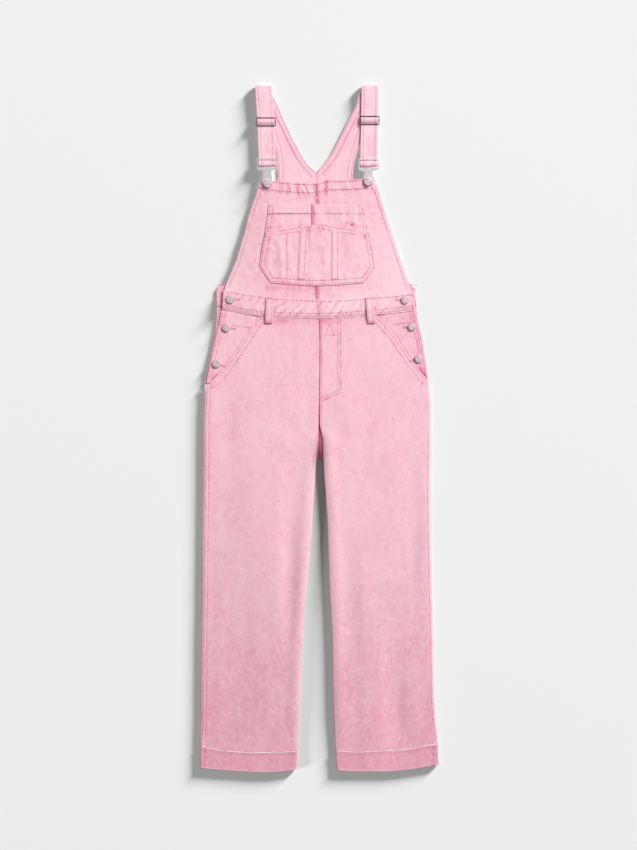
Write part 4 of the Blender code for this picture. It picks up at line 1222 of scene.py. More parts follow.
# Deep upright puckers of the top hem: x, depth of colour.
HEM_PUCKERS = ((-42, 0.14), (-34, 0.12), (16, 0.30), (68, 0.16), (-68, 0.12))


def bib(side, sign, table):
    side_path = np.array([(look(table, y), y) for y in np.arange(518, 292, -10)])
    centre_path = [(-5.0 - sign * 3.2, 514), (-2.7 - sign * 3.2, 470), (-3.4 - sign * 3.2, 278)]
    rows = [
        row(BIB_HEM, groove=0.2, pucker=0.26, reach=9, wave=8, seed=40),
        row(BIB_HEM + (0, 17.0), pucker=0.12, reach=5, wave=8, seed=41),
        row(beside(side_path, 7.5 * sign), groove=0.22, pucker=0.20, reach=5, wave=6, seed=42),
        row(beside(side_path, 2.2 * sign), groove=0.1, pucker=0.10, reach=3, pitch=0, seed=43),
        row(centre_path, groove=0.2, pucker=0.16, reach=9, seed=44),
    ]
    ys = np.concatenate([even(BIB_TOP_Y, 486, 1.2), even(484, 266, 2.0)])

    def left(y):
        return look(table, y) if sign > 0 else look(BIB_CENTRE, y) + SEAM / 2

    def right(y):
        return look(BIB_CENTRE, y) - SEAM / 2 if sign > 0 else look(table, y)

    def above(x, y):
        """Height as if the top edge were level."""
        return y - look(BIB_TOP, x) + BIB_TOP_Y

    def bend(x, y):
        return y + (look(BIB_TOP, x) - BIB_TOP_Y) * ease(484, BIB_TOP_Y, y)

    def top(x, y):
        edge = np.abs(x - look(table, y))
        centre = np.abs(x - look(BIB_CENTRE, y))
        turned = ease(498.5, 500.5, above(x, y))
        side_hem = 0.3 * (1 - ease(6.5, 8.5, edge)) * (1 - turned)
        return rise(x, y) + 0.45 * turned + side_hem - 0.5 * (1 - ease(0, 5, centre))

    def tone(x, y):
        up = above(x, y)
        wave = np.sin(x / 3.1 + 3 * noise(x / 19, y / 40, 13)) * (0.5 + 0.5 * noise(x / 30, 1.0, 14))
        shade = 0.20 * wave * ease(494, 500, up)
        for at, deep in HEM_PUCKERS:
            shade = shade - deep * hill(x - at, 3.2) * ease(484, 500, up)
        # Painted shade along the centre seam and just below the pocket's lower edge.
        centre = np.abs(x - look(BIB_CENTRE, y))
        shade_below_pocket = hill(y - 296, 7) * (np.abs(x) < 112)
        return shade - 0.14 * hill(centre, 6) - 0.12 * shade_below_pocket + 0.10 * ease(120, 175, np.abs(x))

    panel("front_bib_" + side, ys, columns(88), left, right, top, CLOTH, rows, bend=bend, tone=tone)


bib("right", 1, RIGHT_BIB)
bib("left", -1, LEFT_BIB)
print("bib is", round(LEFT_BIB[0][1] - RIGHT_BIB[0][1], 1), "mm wide at the top")

# %% [markdown]
# ## Bib pocket
# The pocket has a top band in two parts, the left over the right, and a lower patch with a
# curved opening. The patch's border is sewn twice, and two strips divide it. Each layer is laid on
# the one below it by its real thickness, so the steps between them are true.

# %% Top band of the pocket
BAND_CREASES = (
    (60, 436, 82, 424, 3.0, -0.5), (52, 440, 70, 430, 3.5, 0.35), (-98, 446, -78, 434, 3.0, 0.3),
    (-90, 440, -60, 432, 4, -0.25),
)
BAND_ROWS = [
    row([(-106, 452.0), (-10, 452.6)], groove=0.12, pucker=0.20, reach=6, wave=6, seed=50),
    row([(-8, 452.0), (94, 451.4)], groove=0.12, pucker=0.20, reach=6, wave=6, seed=57),
]
BAND_ENDS = {
    "right": [
        row([(-101, 470), (-104, 449), (-108, 414)], seed=52),
        row([(-95, 470), (-98, 449), (-102, 414)], seed=53),
    ],
    "left": [
        row([(90, 470), (94.5, 449), (102, 414)], seed=54),
        row([(84, 470), (88.5, 449), (96, 414)], seed=55),
        row([(POCKET_LAP_X + 2.6, 470), (POCKET_LAP_X + 2.6, 432)], seed=56),
    ],
}


def pocket_right(y):
    return look(POCKET_SIDES, y, 1)


def pocket_left(y):
    return look(POCKET_SIDES, y, 2)


def pocket_top(side, from_x, to_x, lift):
    def top(x, y):
        turned = 0.3 * ease(447, 449, y)
        over = lift * (1 - ease(POCKET_LAP_X + 6, POCKET_LAP_X + 30, x))
        return rise(x, y) + POCKET_LEVEL + turned + over + lines(x, y, BAND_CREASES)

    def tone(x, y):
        # Painted shade along the pocket's mouth at the patch's opening, with paler noise over the band.
        mark = -0.10 * hill(y - 424, 5) + 0.10 * noise(x / 5, y / 30, 15) + 0.04
        if side == "left":
            mark = mark - 0.16 * hill(x - POCKET_LAP_X - 4, 4)
        return mark

    panel(
        "pocket_top_" + side, even(472, 406, 1.4), columns(80), from_x, to_x, top, POCKET_CLOTH,
        BAND_ROWS + BAND_ENDS[side], tone=tone, edge=0.5,
    )


pocket_top("right", pocket_right, lambda y: POCKET_LAP_X + 4.0 + 0 * y, 0.0)
pocket_top("left", lambda y: POCKET_LAP_X + 0 * y, pocket_left, POCKET_CLOTH + LAY + 0.1)
print("the left part laps over by", -POCKET_LAP_X, "mm past the middle")

# %% Lower patch of the pocket
# Three slack places where the patch stands off the bib: x, y, reach across, reach along, height.
PATCH_SLACK = ((10, 360, 22, 40, 0.8), (-80, 370, 16, 42, 0.9), (80, 365, 18, 40, 0.9))
PATCH_CREASES = (
    (8, 384, 6, 338, 3.5, -0.35), (-84, 400, -72, 356, 4.5, 0.35), (-92, 392, -82, 340, 4, -0.3),
    (96, 404, 112, 372, 3.0, -0.35), (88, 396, 108, 352, 4.0, 0.3), (100, 350, 118, 322, 3.0, 0.35),
    (-108, 386, -92, 376, 3, 0.3), (84, 340, 66, 322, 5, -0.25), (-60, 350, -50, 320, 4, 0.25),
    (-20, 330, 10, 318, 4, 0.25), (56, 390, 60, 350, 5, -0.2),
)
POCKET_EDGE = [
    (-112, 412), (-113.2, 410), (-119.7, 375), (-124, 341), (-101.5, 306.8), (-39, 301),
    (-3, 299.8), (30, 300.8), (91, 305.4), (98, 307), (119.5, 338), (113.8, 375), (107.1, 411),
]
OPENING = np.array(PATCH_TOP)[1:-1]
PATCH_ROWS = [
    row(beside(POCKET_EDGE, 3.2), groove=0.34, pucker=0.20, reach=4, wave=7, seed=60),
    row(beside(POCKET_EDGE, 11.0), groove=0.32, pucker=0.20, reach=5, wave=8, seed=61),
    row(OPENING - (0, 3.4), groove=0.16, pucker=0.20, reach=6, wave=6, seed=62),
    row(OPENING - (0, 10.5), groove=0.16, pucker=0.20, reach=7, wave=7, seed=63),
    row([(-67, 408), (-67, 316)], groove=0.22, pucker=0.14, reach=5, seed=64),
]
PATCH_HIGH, PATCH_LOW = 420, 306.5


def patch_height(x, y):
    over_band = ease(320, 408, y) * (POCKET_CLOTH + LAY + 0.15)
    lap = ease(360, 406, y) * 1.8 * (1 - ease(0, 22, x)) * ease(-23, -16, x)
    return rise(x, y) + POCKET_LEVEL + over_band + lap + patches(x, y, PATCH_SLACK)


def patch_bend(x, y):
    low = y + (look(POCKET_BOTTOM, x) - PATCH_LOW) * (1 - ease(PATCH_LOW, 328, y))
    return np.where(y > 386, y + (look(PATCH_TOP, x) - PATCH_HIGH) * ease(386, PATCH_HIGH, y), low)


panel(
    "pocket_patch", even(PATCH_HIGH, PATCH_LOW, 1.25), columns(150), pocket_right, pocket_left,
    lambda x, y: patch_height(x, y) + lines(x, y, PATCH_CREASES), POCKET_CLOTH, PATCH_ROWS,
    bend=patch_bend, edge=0.5,
    tone=lambda x, y: 0.35 * lines(x, y, PATCH_CREASES) + 0.07 * noise(x / 9, y / 14, 75) - 0.01,
)
print("patch rows", len(PATCH_ROWS))

# %% Strips on the patch
STRIP_TOP, STRIP_BOTTOM = 416, 314
STRIP_WIDTH = 16.0


def strip(side, top_x, bottom_x):
    def middle(y):
        return top_x + (bottom_x - top_x) * (STRIP_TOP - y) / (STRIP_TOP - STRIP_BOTTOM)

    rows = []
    for k, sign in enumerate((-1, 1)):
        path = [(middle(y) + sign * (STRIP_WIDTH / 2 - 2.6), y) for y in (415, 360, 315)]
        rows.append(row(path, groove=0.14, pucker=0.16, reach=4, wave=6, seed=70 + k))
    panel(
        "pocket_strip_" + side, even(STRIP_TOP, STRIP_BOTTOM, 1.3), columns(15),
        lambda y: middle(y) - STRIP_WIDTH / 2, lambda y: middle(y) + STRIP_WIDTH / 2,
        lambda x, y: patch_height(x, y) + 0.95, STRIP_CLOTH, rows, tone=lambda x, y: 0.06 + 0 * x,
    )


strip("right", -31.0, -36.5)
strip("left", 35.0, 34.5)
print("strips are", STRIP_TOP - STRIP_BOTTOM, "mm long")

# %% [markdown]
# ## Back
# The back lies flat on the floor, so its panels are level. Only the neckline with its band, the
# strap roots, the waistband's ends and a wedge at the crotch show from above. The hidden parts are
# one plain layer each.

# %% Back bib
# Rows above this height are sewn; below it the front bib covers them.
SEWN_ABOVE = 512


def back_bib(side, table, sign):
    inner = np.array([(r[1] - sign * 0.15, r[0]) for r in table], float)
    outer = np.array([(r[2], r[0]) for r in table], float)
    neckline, armhole = inner[:9], outer[2:]
    rows = [
        row(beside(neckline, -2.6 * sign), pucker=0.10, reach=4, seed=80),
        row(beside(neckline, -12.5 * sign), groove=0.22, pucker=0.12, reach=5, seed=81),
        row(beside(armhole, 3.0 * sign), pucker=0.08, reach=4, seed=82),
        row(beside(armhole, 11.0 * sign), groove=0.18, pucker=0.10, reach=5, seed=83),
    ]

    def edge_in(y):
        return np.interp(y, inner[::-1, 1], inner[::-1, 0])

    def edge_out(y):
        return np.interp(y, outer[::-1, 1], outer[::-1, 0])

    def top(x, y):
        band = 0.25 * (1 - ease(11, 13.5, np.abs(x - edge_in(y)))) * ease(540, 548, y)
        return BACK_CLOTH + band + 0.06 * noise(x / 14, y / 20, 16)

    def tone(x, y):
        band_edge = hill(np.abs(x - edge_in(y)) - 13, 2.5) * ease(536, 545, y)
        # Painted shade under the front bib's top edge, and a deeper line at the neckband's edge.
        return 0.06 - 0.14 * band_edge - 0.25 * (1 - ease(500, 520, y))

    y = np.concatenate([even(706, 500, 2.2), even(495, 306.6, 6.0)])[:, None]
    x0, x1 = (edge_out(y), edge_in(y)) if sign > 0 else (edge_in(y), edge_out(y))
    x = x0 + (x1 - x0) * columns(44)[None]
    real = y + 0 * x
    height, pale = wear_and_painted_light(x, real, rows)
    rim = np.minimum(x - x0, x1 - x)
    z = top(x, real) + height * 0.8 - 0.3 * (1 - ease(0, 1.6, rim))
    # The rims get painted shade, which tones down the light that they catch.
    pale += tone(x, real) - 0.06 * (1 - ease(0, 2.2, rim))
    grid = np.stack([x, real, z], -1)
    made = shell("cloth_back_bib_" + side, grid, z[..., None], pale, straight=True)
    sewn = [dict(line, path=line["path"][line["path"][:, 1] > SEWN_ABOVE]) for line in rows]
    stitches(
        "stitching_back_bib_" + side, sewn,
        lambda px, py: top(px, py) + 0.8 * wear_and_painted_light(px, py, rows)[0], made.name,
    )


back_bib("right", RIGHT_BACK_BIB, 1)
back_bib("left", LEFT_BACK_BIB, -1)
print("back bib reaches", RIGHT_BACK_BIB[0][0], "mm")

# %% Back legs and back waistband
# Heights with extra rows at the crotch point, where the two legs part.
BACK_LEG_YS = np.concatenate([
    even(BACK_WAIST_BOTTOM - SEAM, 60, 5), even(54, -58, 4), (-61.5, -62.5, -64.2, -66.0, -69.0),
    even(-74, HEM_SWING, 8), even(-598, LEG_END, 6),
])
CENTRE_SEAM_X = 1.4


def back_leg(side, outer, inner, hem):
    sign = 1 if look(outer, 0) < 0 else -1
    y = BACK_LEG_YS[:, None]
    seam = CENTRE_SEAM_X - sign * 0.15
    blend = ease(-66, -62, y)
    x_in = np.where(y > -62, seam, (look(inner, y) - sign * 0.4) * (1 - blend) + seam * blend)
    x_out = look(outer, y) + sign * 0.4
    x0, x1 = (x_out, x_in) if sign > 0 else (x_in, x_out)
    x = x0 + (x1 - x0) * columns(34)[None]
    real = to_hem(hem, x, y, SEAM + 0.4)
    pale = 0.42 + 0.1 * noise(x / 30, real / 46, 17)
    # The wedge that shows at the crotch is darkened with painted shade.
    wedge = (1 - ease(20, 60, real)) * ease(-90, -60, real)
    pale = pale - 0.45 * hill(x - CENTRE_SEAM_X, 16) * wedge
    grid = np.stack([x, real, BACK_CLOTH + 0 * x], -1)
    shell("cloth_back_leg_" + side, grid, BACK_CLOTH, pale, straight=True)


back_leg("right", RIGHT_OUTSEAM, RIGHT_INSEAM, RIGHT_HEM)
back_leg("left", LEFT_OUTSEAM, LEFT_INSEAM, LEFT_HEM)
BACK_WAIST_ROWS = [
    row([(-210, 302), (206, 302)], groove=0.1, pucker=0.05, seed=90),
    row([(-212, 260), (203, 260)], groove=0.1, pucker=0.05, seed=91),
]
panel(
    "back_waistband", even(BACK_WAIST_TOP, BACK_WAIST_BOTTOM, 2.5), columns(120),
    lambda y: look(RIGHT_OUTSEAM, y), lambda y: look(LEFT_OUTSEAM, y),
    lambda x, y: BAND_CLOTH + 0 * x, BAND_CLOTH, BACK_WAIST_ROWS,
    tone=lambda x, y: -0.12 + 0 * x, edge=0.0,
)
print("cloth pieces so far", len(SHELLS))

# %% [markdown]
# ## Hem bands
# A band is a flat tube round the leg opening. Its upper edge stands up as a frayed, pale ridge,
# where the fold of an old hem was let down. The tube is a row of rings, each laid out as the band's
# flat section. The ridge is a cord of loosened thread, and the fibres are single slivers. A hair
# system could make them, but slivers keep their place as plain mesh.

# %% Tube of a hem band
HEM_SHARES = np.concatenate([
    [0.0, 0.012, 0.03, 0.05, 0.075, 0.10, 0.14, 0.2], np.linspace(0.28, 0.86, 12),
    [0.9, 0.93, 0.95, 0.97, 0.985, 1.0],
])
HEM_LIFTS = np.interp(
    HEM_SHARES, (0.0, 0.03, 0.06, 0.14, 0.5, 0.9, 0.96, 0.985, 1.0),
    (-0.1, 0.3, 0.3, 0.1, 0.0, 0.05, 0.35, 0.1, -0.6),
)
HEM_WRINKLES = (
    (-178, -686, -160, -698, 3, -0.25), (-75, -688, -66, -704, 3, 0.25),
    (131, -694, 146, -708, 2.6, 0.45), (112, -684, 134, -692, 2.6, 0.3),
    (190, -682, 196, -700, 3, -0.25), (60, -690, 70, -706, 3, -0.2),
    (-215, -690, -205, -706, 3, 0.25),
)
HEM_DEPTH = 0.043
UNDER_POINTS, TURN_POINTS, OVER_POINTS = 30, 9, 110
TURN_MM = 4
# Bands of colour across the hem, from its upper edge: middle, reach, amount.
HEM_BANDS = ((0.02, 0.03, 0.16), (0.13, 0.05, -0.06), (0.965, 0.022, 0.22), (0.92, 0.02, -0.06))


def hem_across(hem, x, share):
    return hem_line(hem, x) + (hem_line(hem, x, 2) - hem_line(hem, x)) * share


def hem_ring(outer, inner, hem, share, lift, rows):
    """One ring of the tube, seen along the leg: under, round one edge, over, and round the other."""
    y_mid = -678 - 40 * share
    x0, x1 = sorted((look(outer, y_mid), look(inner, y_mid)))
    level = float(rise((x0 + x1) / 2, HEM_Y)) + lift
    under = np.linspace(x0 + TURN_MM, x1 - TURN_MM, UNDER_POINTS)
    over = np.linspace(x1 - TURN_MM, x0 + TURN_MM, OVER_POINTS)
    right = np.radians(np.linspace(-75, 75, TURN_POINTS))
    left = np.radians(np.linspace(105, 255, TURN_POINTS))
    over_y = hem_across(hem, over, share)
    height, pale = wear_and_painted_light(over, over_y, rows)
    frayed = 0.10 * noise(over / 3.0, share * 3, 18) * (share < 0.09)
    top = rise(over, HEM_Y) + lift + lines(over, over_y, HEM_WRINKLES) + height + frayed
    ring = np.concatenate([
        np.stack([under, 0 * under], 1),
        np.stack([x1 - TURN_MM + TURN_MM * np.cos(right), level / 2 * (1 + np.sin(right))], 1),
        np.stack([over, top], 1),
        np.stack([x0 + TURN_MM + TURN_MM * np.cos(left), level / 2 * (1 + np.sin(left))], 1),
    ])
    tone = np.full(len(ring), 0.34)
    tone[UNDER_POINTS + TURN_POINTS:-TURN_POINTS] = pale - 0.14
    for middle, reach, amount in HEM_BANDS:
        tone += amount * hill(share - middle, reach)
    return ring, tone


def hem_tube(side, outer, inner, hem, rows):
    outside, inside, tones = [], [], []
    for share, lift in zip(HEM_SHARES, HEM_LIFTS):
        ring, tone = hem_ring(outer, inner, hem, share, lift, rows)
        along = np.roll(ring, -1, 0) - np.roll(ring, 1, 0)
        outward = np.stack([along[:, 1], -along[:, 0]], 1)
        outward /= np.linalg.norm(outward, axis=1, keepdims=True)
        y = hem_across(hem, ring[:, 0], share)
        within = ring - outward * HEM_CLOTH
        outside.append(np.stack([ring[:, 0], y, ring[:, 1]], 1))
        inside.append(np.stack([within[:, 0], y, within[:, 1]], 1))
        tones.append(tone)
    rings = np.array(outside + inside[::-1])
    index = np.arange(rings.shape[0] * rings.shape[1]).reshape(rings.shape[:2])
    # The first row comes again at the end, because the tube's wall closes on itself.
    follow = np.roll(index, -1, 0)
    faces = np.stack([index, np.roll(index, -1, 1), np.roll(follow, -1, 1), follow], -1)
    faces = faces.reshape(-1, 4)[:, ::-1].tolist()
    name = "cloth_hem_band_" + side
    return link(name, rings.reshape(-1, 3), faces, np.array(tones + tones[::-1]))


print("rings in a hem band", len(HEM_SHARES))

# %% Frayed ridge of a hem band
CORD_SIDES = 7
FIBRES = 900
TETRA = np.array([(0, 2, 1), (0, 1, 3), (1, 2, 3), (2, 0, 3)])


def ridge_cord(side, hem, low_x, high_x):
    """A cord of loosened thread over the joint, of uneven width."""
    x = np.arange(low_x + 3.0, high_x - 3.0, 1.1)
    y = hem_line(hem, x) + 0.1 + 0.5 * noise(x / 6.0, 0.5, 71) + 0.35 * noise(x / 2.0, 0.5, 72)
    wide = 1.05 + 0.45 * noise(x / 3.1, 0.5, 73) + 0.35 * noise(x / 9.0, 0.5, 74)
    wide = np.clip(wide, 0.35, 1.8)
    ground = rise(x, HEM_Y) + 0.55
    cord = np.stack([
        np.stack([x, y + wide * math.cos(a), ground + wide * 0.5 * math.sin(a)], 1)
        for a in np.linspace(0, 2 * math.pi, CORD_SIDES + 1)[:-1]
    ], 1)
    index = np.arange(len(x) * CORD_SIDES).reshape(-1, CORD_SIDES)
    caps = [index[0][::-1].tolist(), index[-1].tolist()]
    made = link("ridge_hem_band_" + side, cord.reshape(-1, 3), ring_quads(index).tolist() + caps)
    sewn_on(made, FRAY, "cloth_hem_band_" + side)


def fray(side, hem, low_x, high_x, surface):
    """Slivers 1 to 4 mm long that lean every way from the ridge."""
    rng = np.random.default_rng(7 if side == "right" else 8)
    x = np.sort(rng.uniform(low_x + 5, high_x - 5, FIBRES))
    y = hem_line(hem, x) + rng.normal(-0.2, 0.9, FIBRES)
    z = surface(x, y) + 0.10
    angle = rng.uniform(0, 2 * math.pi, FIBRES)
    flat = rng.random(FIBRES) < 0.6
    angle = np.where(flat, rng.normal(0, 0.35, FIBRES) + math.pi * (rng.random(FIBRES) < 0.5), angle)
    length = rng.uniform(1.2, 3.6, FIBRES)
    lift = rng.uniform(0.1, 0.7, FIBRES)
    tip = np.stack([x + np.cos(angle) * length, y + np.sin(angle) * length * 0.7, z + lift], 1)
    aside = np.stack([-np.sin(angle), np.cos(angle), 0 * angle], 1) * 0.22
    root = np.stack([x, y, z], 1)
    points = np.stack([root - aside, root + aside, root + (0, 0, 0.35), tip], 1).reshape(-1, 3)
    faces = (TETRA[None] + (np.arange(FIBRES) * 4)[:, None, None]).reshape(-1, 3).tolist()
    sewn_on(link("fray_hem_band_" + side, points, faces), FRAY, "cloth_hem_band_" + side)


print("fibres on each hem", FIBRES)

# %% Hem bands


def hem_band(side, outer, inner, hem):
    outer_x, inner_x = look(outer, HEM_Y), look(inner, HEM_Y)
    sign = np.sign(inner_x - outer_x)
    seam_x = outer_x + sign * 9.5
    zigzag = [(seam_x + sign * (1.6 if k % 2 else -1.2), -668.0 - 4.4 * k) for k in range(10)]
    rows = [row(zigzag, groove=0.4, pucker=0.22, reach=4, wave=6, pitch=4.6, seed=100)]
    made = hem_tube(side, outer, inner, hem, rows)
    # All round the tube, with what its two turned edges take.
    around = float(np.abs(inner_x - outer_x)) * 2.0 + 8
    keep(made, (around * MM, HEM_DEPTH))

    def surface(px, py):
        high = hem_line(hem, px)
        share = np.clip((py - high) / (hem_line(hem, px, 2) - high), 0, 1)
        level = rise(px, HEM_Y) + np.interp(share, HEM_SHARES, HEM_LIFTS)
        return level + lines(px, py, HEM_WRINKLES) + wear_and_painted_light(px, py, rows)[0]

    stitches("stitching_hem_band_" + side, rows, surface, made.name)
    low_x, high_x = sorted((outer_x, inner_x))
    ridge_cord(side, hem, low_x, high_x)
    fray(side, hem, low_x, high_x, surface)
    return around


around = [
    hem_band("right", RIGHT_OUTSEAM, RIGHT_INSEAM, RIGHT_HEM),
    hem_band("left", LEFT_OUTSEAM, LEFT_INSEAM, LEFT_HEM),
]
print("leg openings", [round(v) for v in around], "mm all round")

# %% [markdown]
# ## Belt loops
# A belt loop is a folded band that bows off the waistband, tacked down at both ends with a dense
# bar of thread. It is level across, so one grid with a bow along it is enough.

# %% Belt loops
LOOP_TOP, LOOP_BOTTOM = 275.5, 221.5
LOOP_WIDTH = 15.5
LOOP_LEVEL = WAIST_LEVEL + LAY + LOOP_CLOTH


def loop_bow(share):
    """Height of the loop along its length: it bows up, and its lower end dips."""
    arch = np.sin(math.pi * np.clip((share - 0.08) / 0.84, 0, 1))
    return 1.5 * arch - 0.8 * ease(0.8, 1.0, share)


def belt_loop(side, top_x, bottom_x):
    share = np.linspace(0, 1, 46)[:, None]
    across = columns(15)[None]
    y = LOOP_TOP + (LOOP_BOTTOM - LOOP_TOP) * share + 0 * across
    x = top_x + (bottom_x - top_x) * share + (across - 0.5) * LOOP_WIDTH
    rows = []
    for k, aside in enumerate((-5.0, 5.0)):
        path = [(top_x + aside, 275), (bottom_x + aside, 222)]
        rows.append(row(path, groove=0.2, pucker=0.08, reach=3, seed=110 + k))
    for k, (at, bar_y) in enumerate(((top_x, 272.8), (bottom_x, 224.5))):
        path = [(at - 6, bar_y), (at + 6, bar_y)]
        rows.append(row(path, groove=0.3, pucker=0.05, reach=3, pitch=1.5, seed=112 + k))
    height, pale = wear_and_painted_light(x, y, rows)
    rim = np.minimum(across, 1 - across) * LOOP_WIDTH + 0 * share
    z = LOOP_LEVEL + loop_bow(share) + height - 0.5 * (1 - ease(0, 1.4, rim))
    pale += 0.04 * (1 - ease(0, 1.8, rim)) + 0.05 * np.sin(math.pi * share)
    pale -= 0.25 * ease(0.9, 1.0, share) + 0.1 * (1 - ease(0, 0.1, share))
    grid = np.stack([x, y, z], -1)
    made = shell("cloth_belt_loop_" + side, grid, LOOP_CLOTH, pale, straight=True)

    def surface(px, py):
        down = (LOOP_TOP - py) / (LOOP_TOP - LOOP_BOTTOM)
        return LOOP_LEVEL + loop_bow(down) + wear_and_painted_light(px, py, rows)[0]

    stitches("stitching_belt_loop_" + side, rows, surface, made.name)


belt_loop("right", -102.0, -105.0)
belt_loop("left", 106.0, 111.0)
print("belt loops stand", round(LOOP_LEVEL, 2), "mm high")

# %% [markdown]
# ## Straps
# A strap is a doubled ribbon that follows one path: up behind from the hook, round the hook's bar,
# over the slider and over the fold at the shoulder to the back. A ribbon swept along a curve object
# would twist, so each place on the path gets its own row of points straight across.

# %% Path of a strap
STRAP_BEHIND = 3.3
STRAP_FRONT = 5.7
HOOK_CREST = 10.5
SLIDE_CREST = 9.5
STRAP_FOLD_TOP = 6.6
STRAP_BACK_Y = 711.0
# Places of each strap's fold, slider, hook bar and root on the back bib.
STRAPS = {
    "right": {
        "fold_x": -116.0, "fold_y": 722.6, "slide_x": -110.6, "slide_y": 644.2,
        "bar_x": -107.6, "bar_y": 554.3, "back_x": -117.6,
    },
    "left": {
        "fold_x": 108.2, "fold_y": 722.6, "slide_x": 107.0, "slide_y": 647.4,
        "bar_x": 105.2, "bar_y": 553.6, "back_x": 105.8,
    },
}
# Heights of the ribbon beside a bar: distance from the bar along the strap, height.
OFF_HOOK = ((2.2, 10.3), (4.2, 9.3), (6.2, 7.6), (8.2, 6.1), (10.0, 5.72), (12.5, STRAP_FRONT))
OVER_SLIDE = (
    (-10.0, STRAP_FRONT), (-7.5, 5.7), (-5.6, 6.6), (-3.6, 8.4), (-1.6, SLIDE_CREST),
    (1.6, SLIDE_CREST), (3.6, 8.4), (5.6, 6.6), (7.5, 5.7), (10.0, STRAP_FRONT),
)
HALF_TURN = [math.pi * k / 6 for k in range(7)]


def strap_path(spec):
    fold_x, fold_y, slide_x, slide_y, bar_x, bar_y, back_x = spec.values()

    def along(y, z):
        x = float(np.interp(y, (bar_y, slide_y, fold_y), (bar_x, slide_x, fold_x)))
        return (x, y, z)

    path = [along(y, STRAP_BEHIND) for y in np.linspace(slide_y - 3, bar_y + 3, 5)]
    middle = (HOOK_CREST + STRAP_BEHIND) / 2
    turn = (HOOK_CREST - STRAP_BEHIND) / 2
    path += [(bar_x, bar_y - turn * math.sin(a), middle - turn * math.cos(a)) for a in HALF_TURN]
    path += [(bar_x, bar_y + dy, z) for dy, z in OFF_HOOK]
    path += [along(y, STRAP_FRONT) for y in np.linspace(bar_y + 26, slide_y - 24, 3)]
    path += [(slide_x, slide_y + dy, z) for dy, z in OVER_SLIDE]
    path += [along(slide_y + 24, STRAP_FRONT + 0.2), along(fold_y - 26, STRAP_FRONT + 0.5)]
    low = STRAP_CLOTH / 2
    half = (STRAP_FOLD_TOP - low) / 2
    for a in HALF_TURN:
        path.append((fold_x, fold_y - half - 1 + half * math.sin(a), low + half + half * math.cos(a)))
    path.append((fold_x + (back_x - fold_x) * 0.5, STRAP_BACK_Y, low))
    path.append((back_x, RIGHT_BACK_BIB[0][0] + SEAM, low))
    return np.array(path)


print("points on a strap's path", len(strap_path(STRAPS["right"])))

# %% Wear of a strap
STRAP_HALF = 18.0
STRAP_STEP = 1.15
STRAP_ROW = 12.2
STRAP_PITCH = 5.4
STRAP_STITCH_SHAPE = ((0.0, 0.25), (0.2, 0.9), (0.5, 1.0), (0.8, 0.9), (1.0, 0.25))


def smooth_line(path):
    """Even points along the path, with its corners rounded, and the length at each."""
    steps = np.linalg.norm(np.diff(path, axis=0), axis=1)
    run = np.concatenate([[0], np.cumsum(steps)])
    at = np.arange(0, run[-1], STRAP_STEP)
    line = np.stack([np.interp(at, run, path[:, k]) for k in range(3)], 1)
    for _ in range(2):
        line[1:-1] = line[:-2] * 0.25 + line[1:-1] * 0.5 + line[2:] * 0.25
    return at, line, float(run[-1])


def strap_wear(at, u, line, spec):
    """Height and paleness over the ribbon, from its place along (at) and across (u)."""
    at, u = at[:, None], u[None]
    pale = 0.64 + 0.10 * noise(at / 26, u / 9, 19) + 0.08 * noise(at / 5, u / 3, 20)
    height = 0
    for offset, seed in ((-STRAP_ROW, 120), (STRAP_ROW, 121)):
        # Painted shade at each needle hole.
        needle = np.maximum(0, np.cos(at / STRAP_PITCH * 2 * math.pi)) ** 2
        pale -= 0.42 * needle * hill(u - offset, 1.5)
        away = np.abs(u - offset)
        ripple = np.sin((at / 6.4 + 0.6 * noise(at / 17, 0.0, seed)) * 2 * math.pi)
        ripple = ripple * (0.55 + 0.45 * noise(at / 13, 0.0, seed + 5))
        height = height - 0.16 * hill(away, GROOVE_HALF) + 0.10 * hill(away, 3.6) * ripple
        pale += -0.04 * hill(away, 1.2) + 0.16 * hill(away, 3.6) * ripple
    # The edges get painted shade, which tones down the light that they catch.
    pale -= 0.05 * hill(np.abs(u) - 17.8, 0.8)
    # Where the ribbon rises over the slider and the hook bar, painted shade tones down the light it
    # catches.
    raised = (line[:, 2] > 6)[:, None]
    pale -= 0.16 * hill(line[:, 1] - spec["slide_y"], 7)[:, None] * raised
    pale -= 0.12 * hill(line[:, 1] - spec["bar_y"], 6)[:, None] * raised
    return height, pale


print("strap width", 2 * STRAP_HALF, "mm")

# %% Ribbons and their thread


def strap(side, spec):
    at, line, length = smooth_line(strap_path(spec))
    along = np.gradient(line, axis=0)
    along[:, 0] = 0
    along /= np.linalg.norm(along, axis=1, keepdims=True)
    normal = np.stack([np.zeros(len(along)), -along[:, 2], along[:, 1]], 1)
    u = np.concatenate([[-1.0], np.linspace(-0.985, 0.985, 37), [1.0]]) * STRAP_HALF
    thin = np.where(np.abs(u) > 17.9, 0.45, np.where(np.abs(u) > 17.0, 0.9, 1.0))
    face = (STRAP_CLOTH / 2 * thin)[None, :, None]
    height, pale = strap_wear(at, u, line, spec)
    aside = np.stack([u, 0 * u, 0 * u], 1)[None]
    outer = line[:, None] + normal[:, None] * (face + height[..., None]) + aside
    inner = line[:, None] - normal[:, None] * face + aside
    points = np.concatenate([outer.reshape(-1, 3), inner.reshape(-1, 3)])
    pale = np.concatenate([pale.ravel(), pale.ravel()])
    faces = wall(*outer.shape[:2]).tolist()
    made = link("cloth_front_strap_" + side, points, faces, pale)
    turned = np.cross(outer[1, 1] - outer[0, 1], outer[0, 2] - outer[0, 1])
    if turned @ normal[0] > 0:
        made.data.flip_normals()
    keep(made, (STRAP_HALF * 2 * MM, length * MM))
    strap_thread(side, at, line, along, normal, spec)


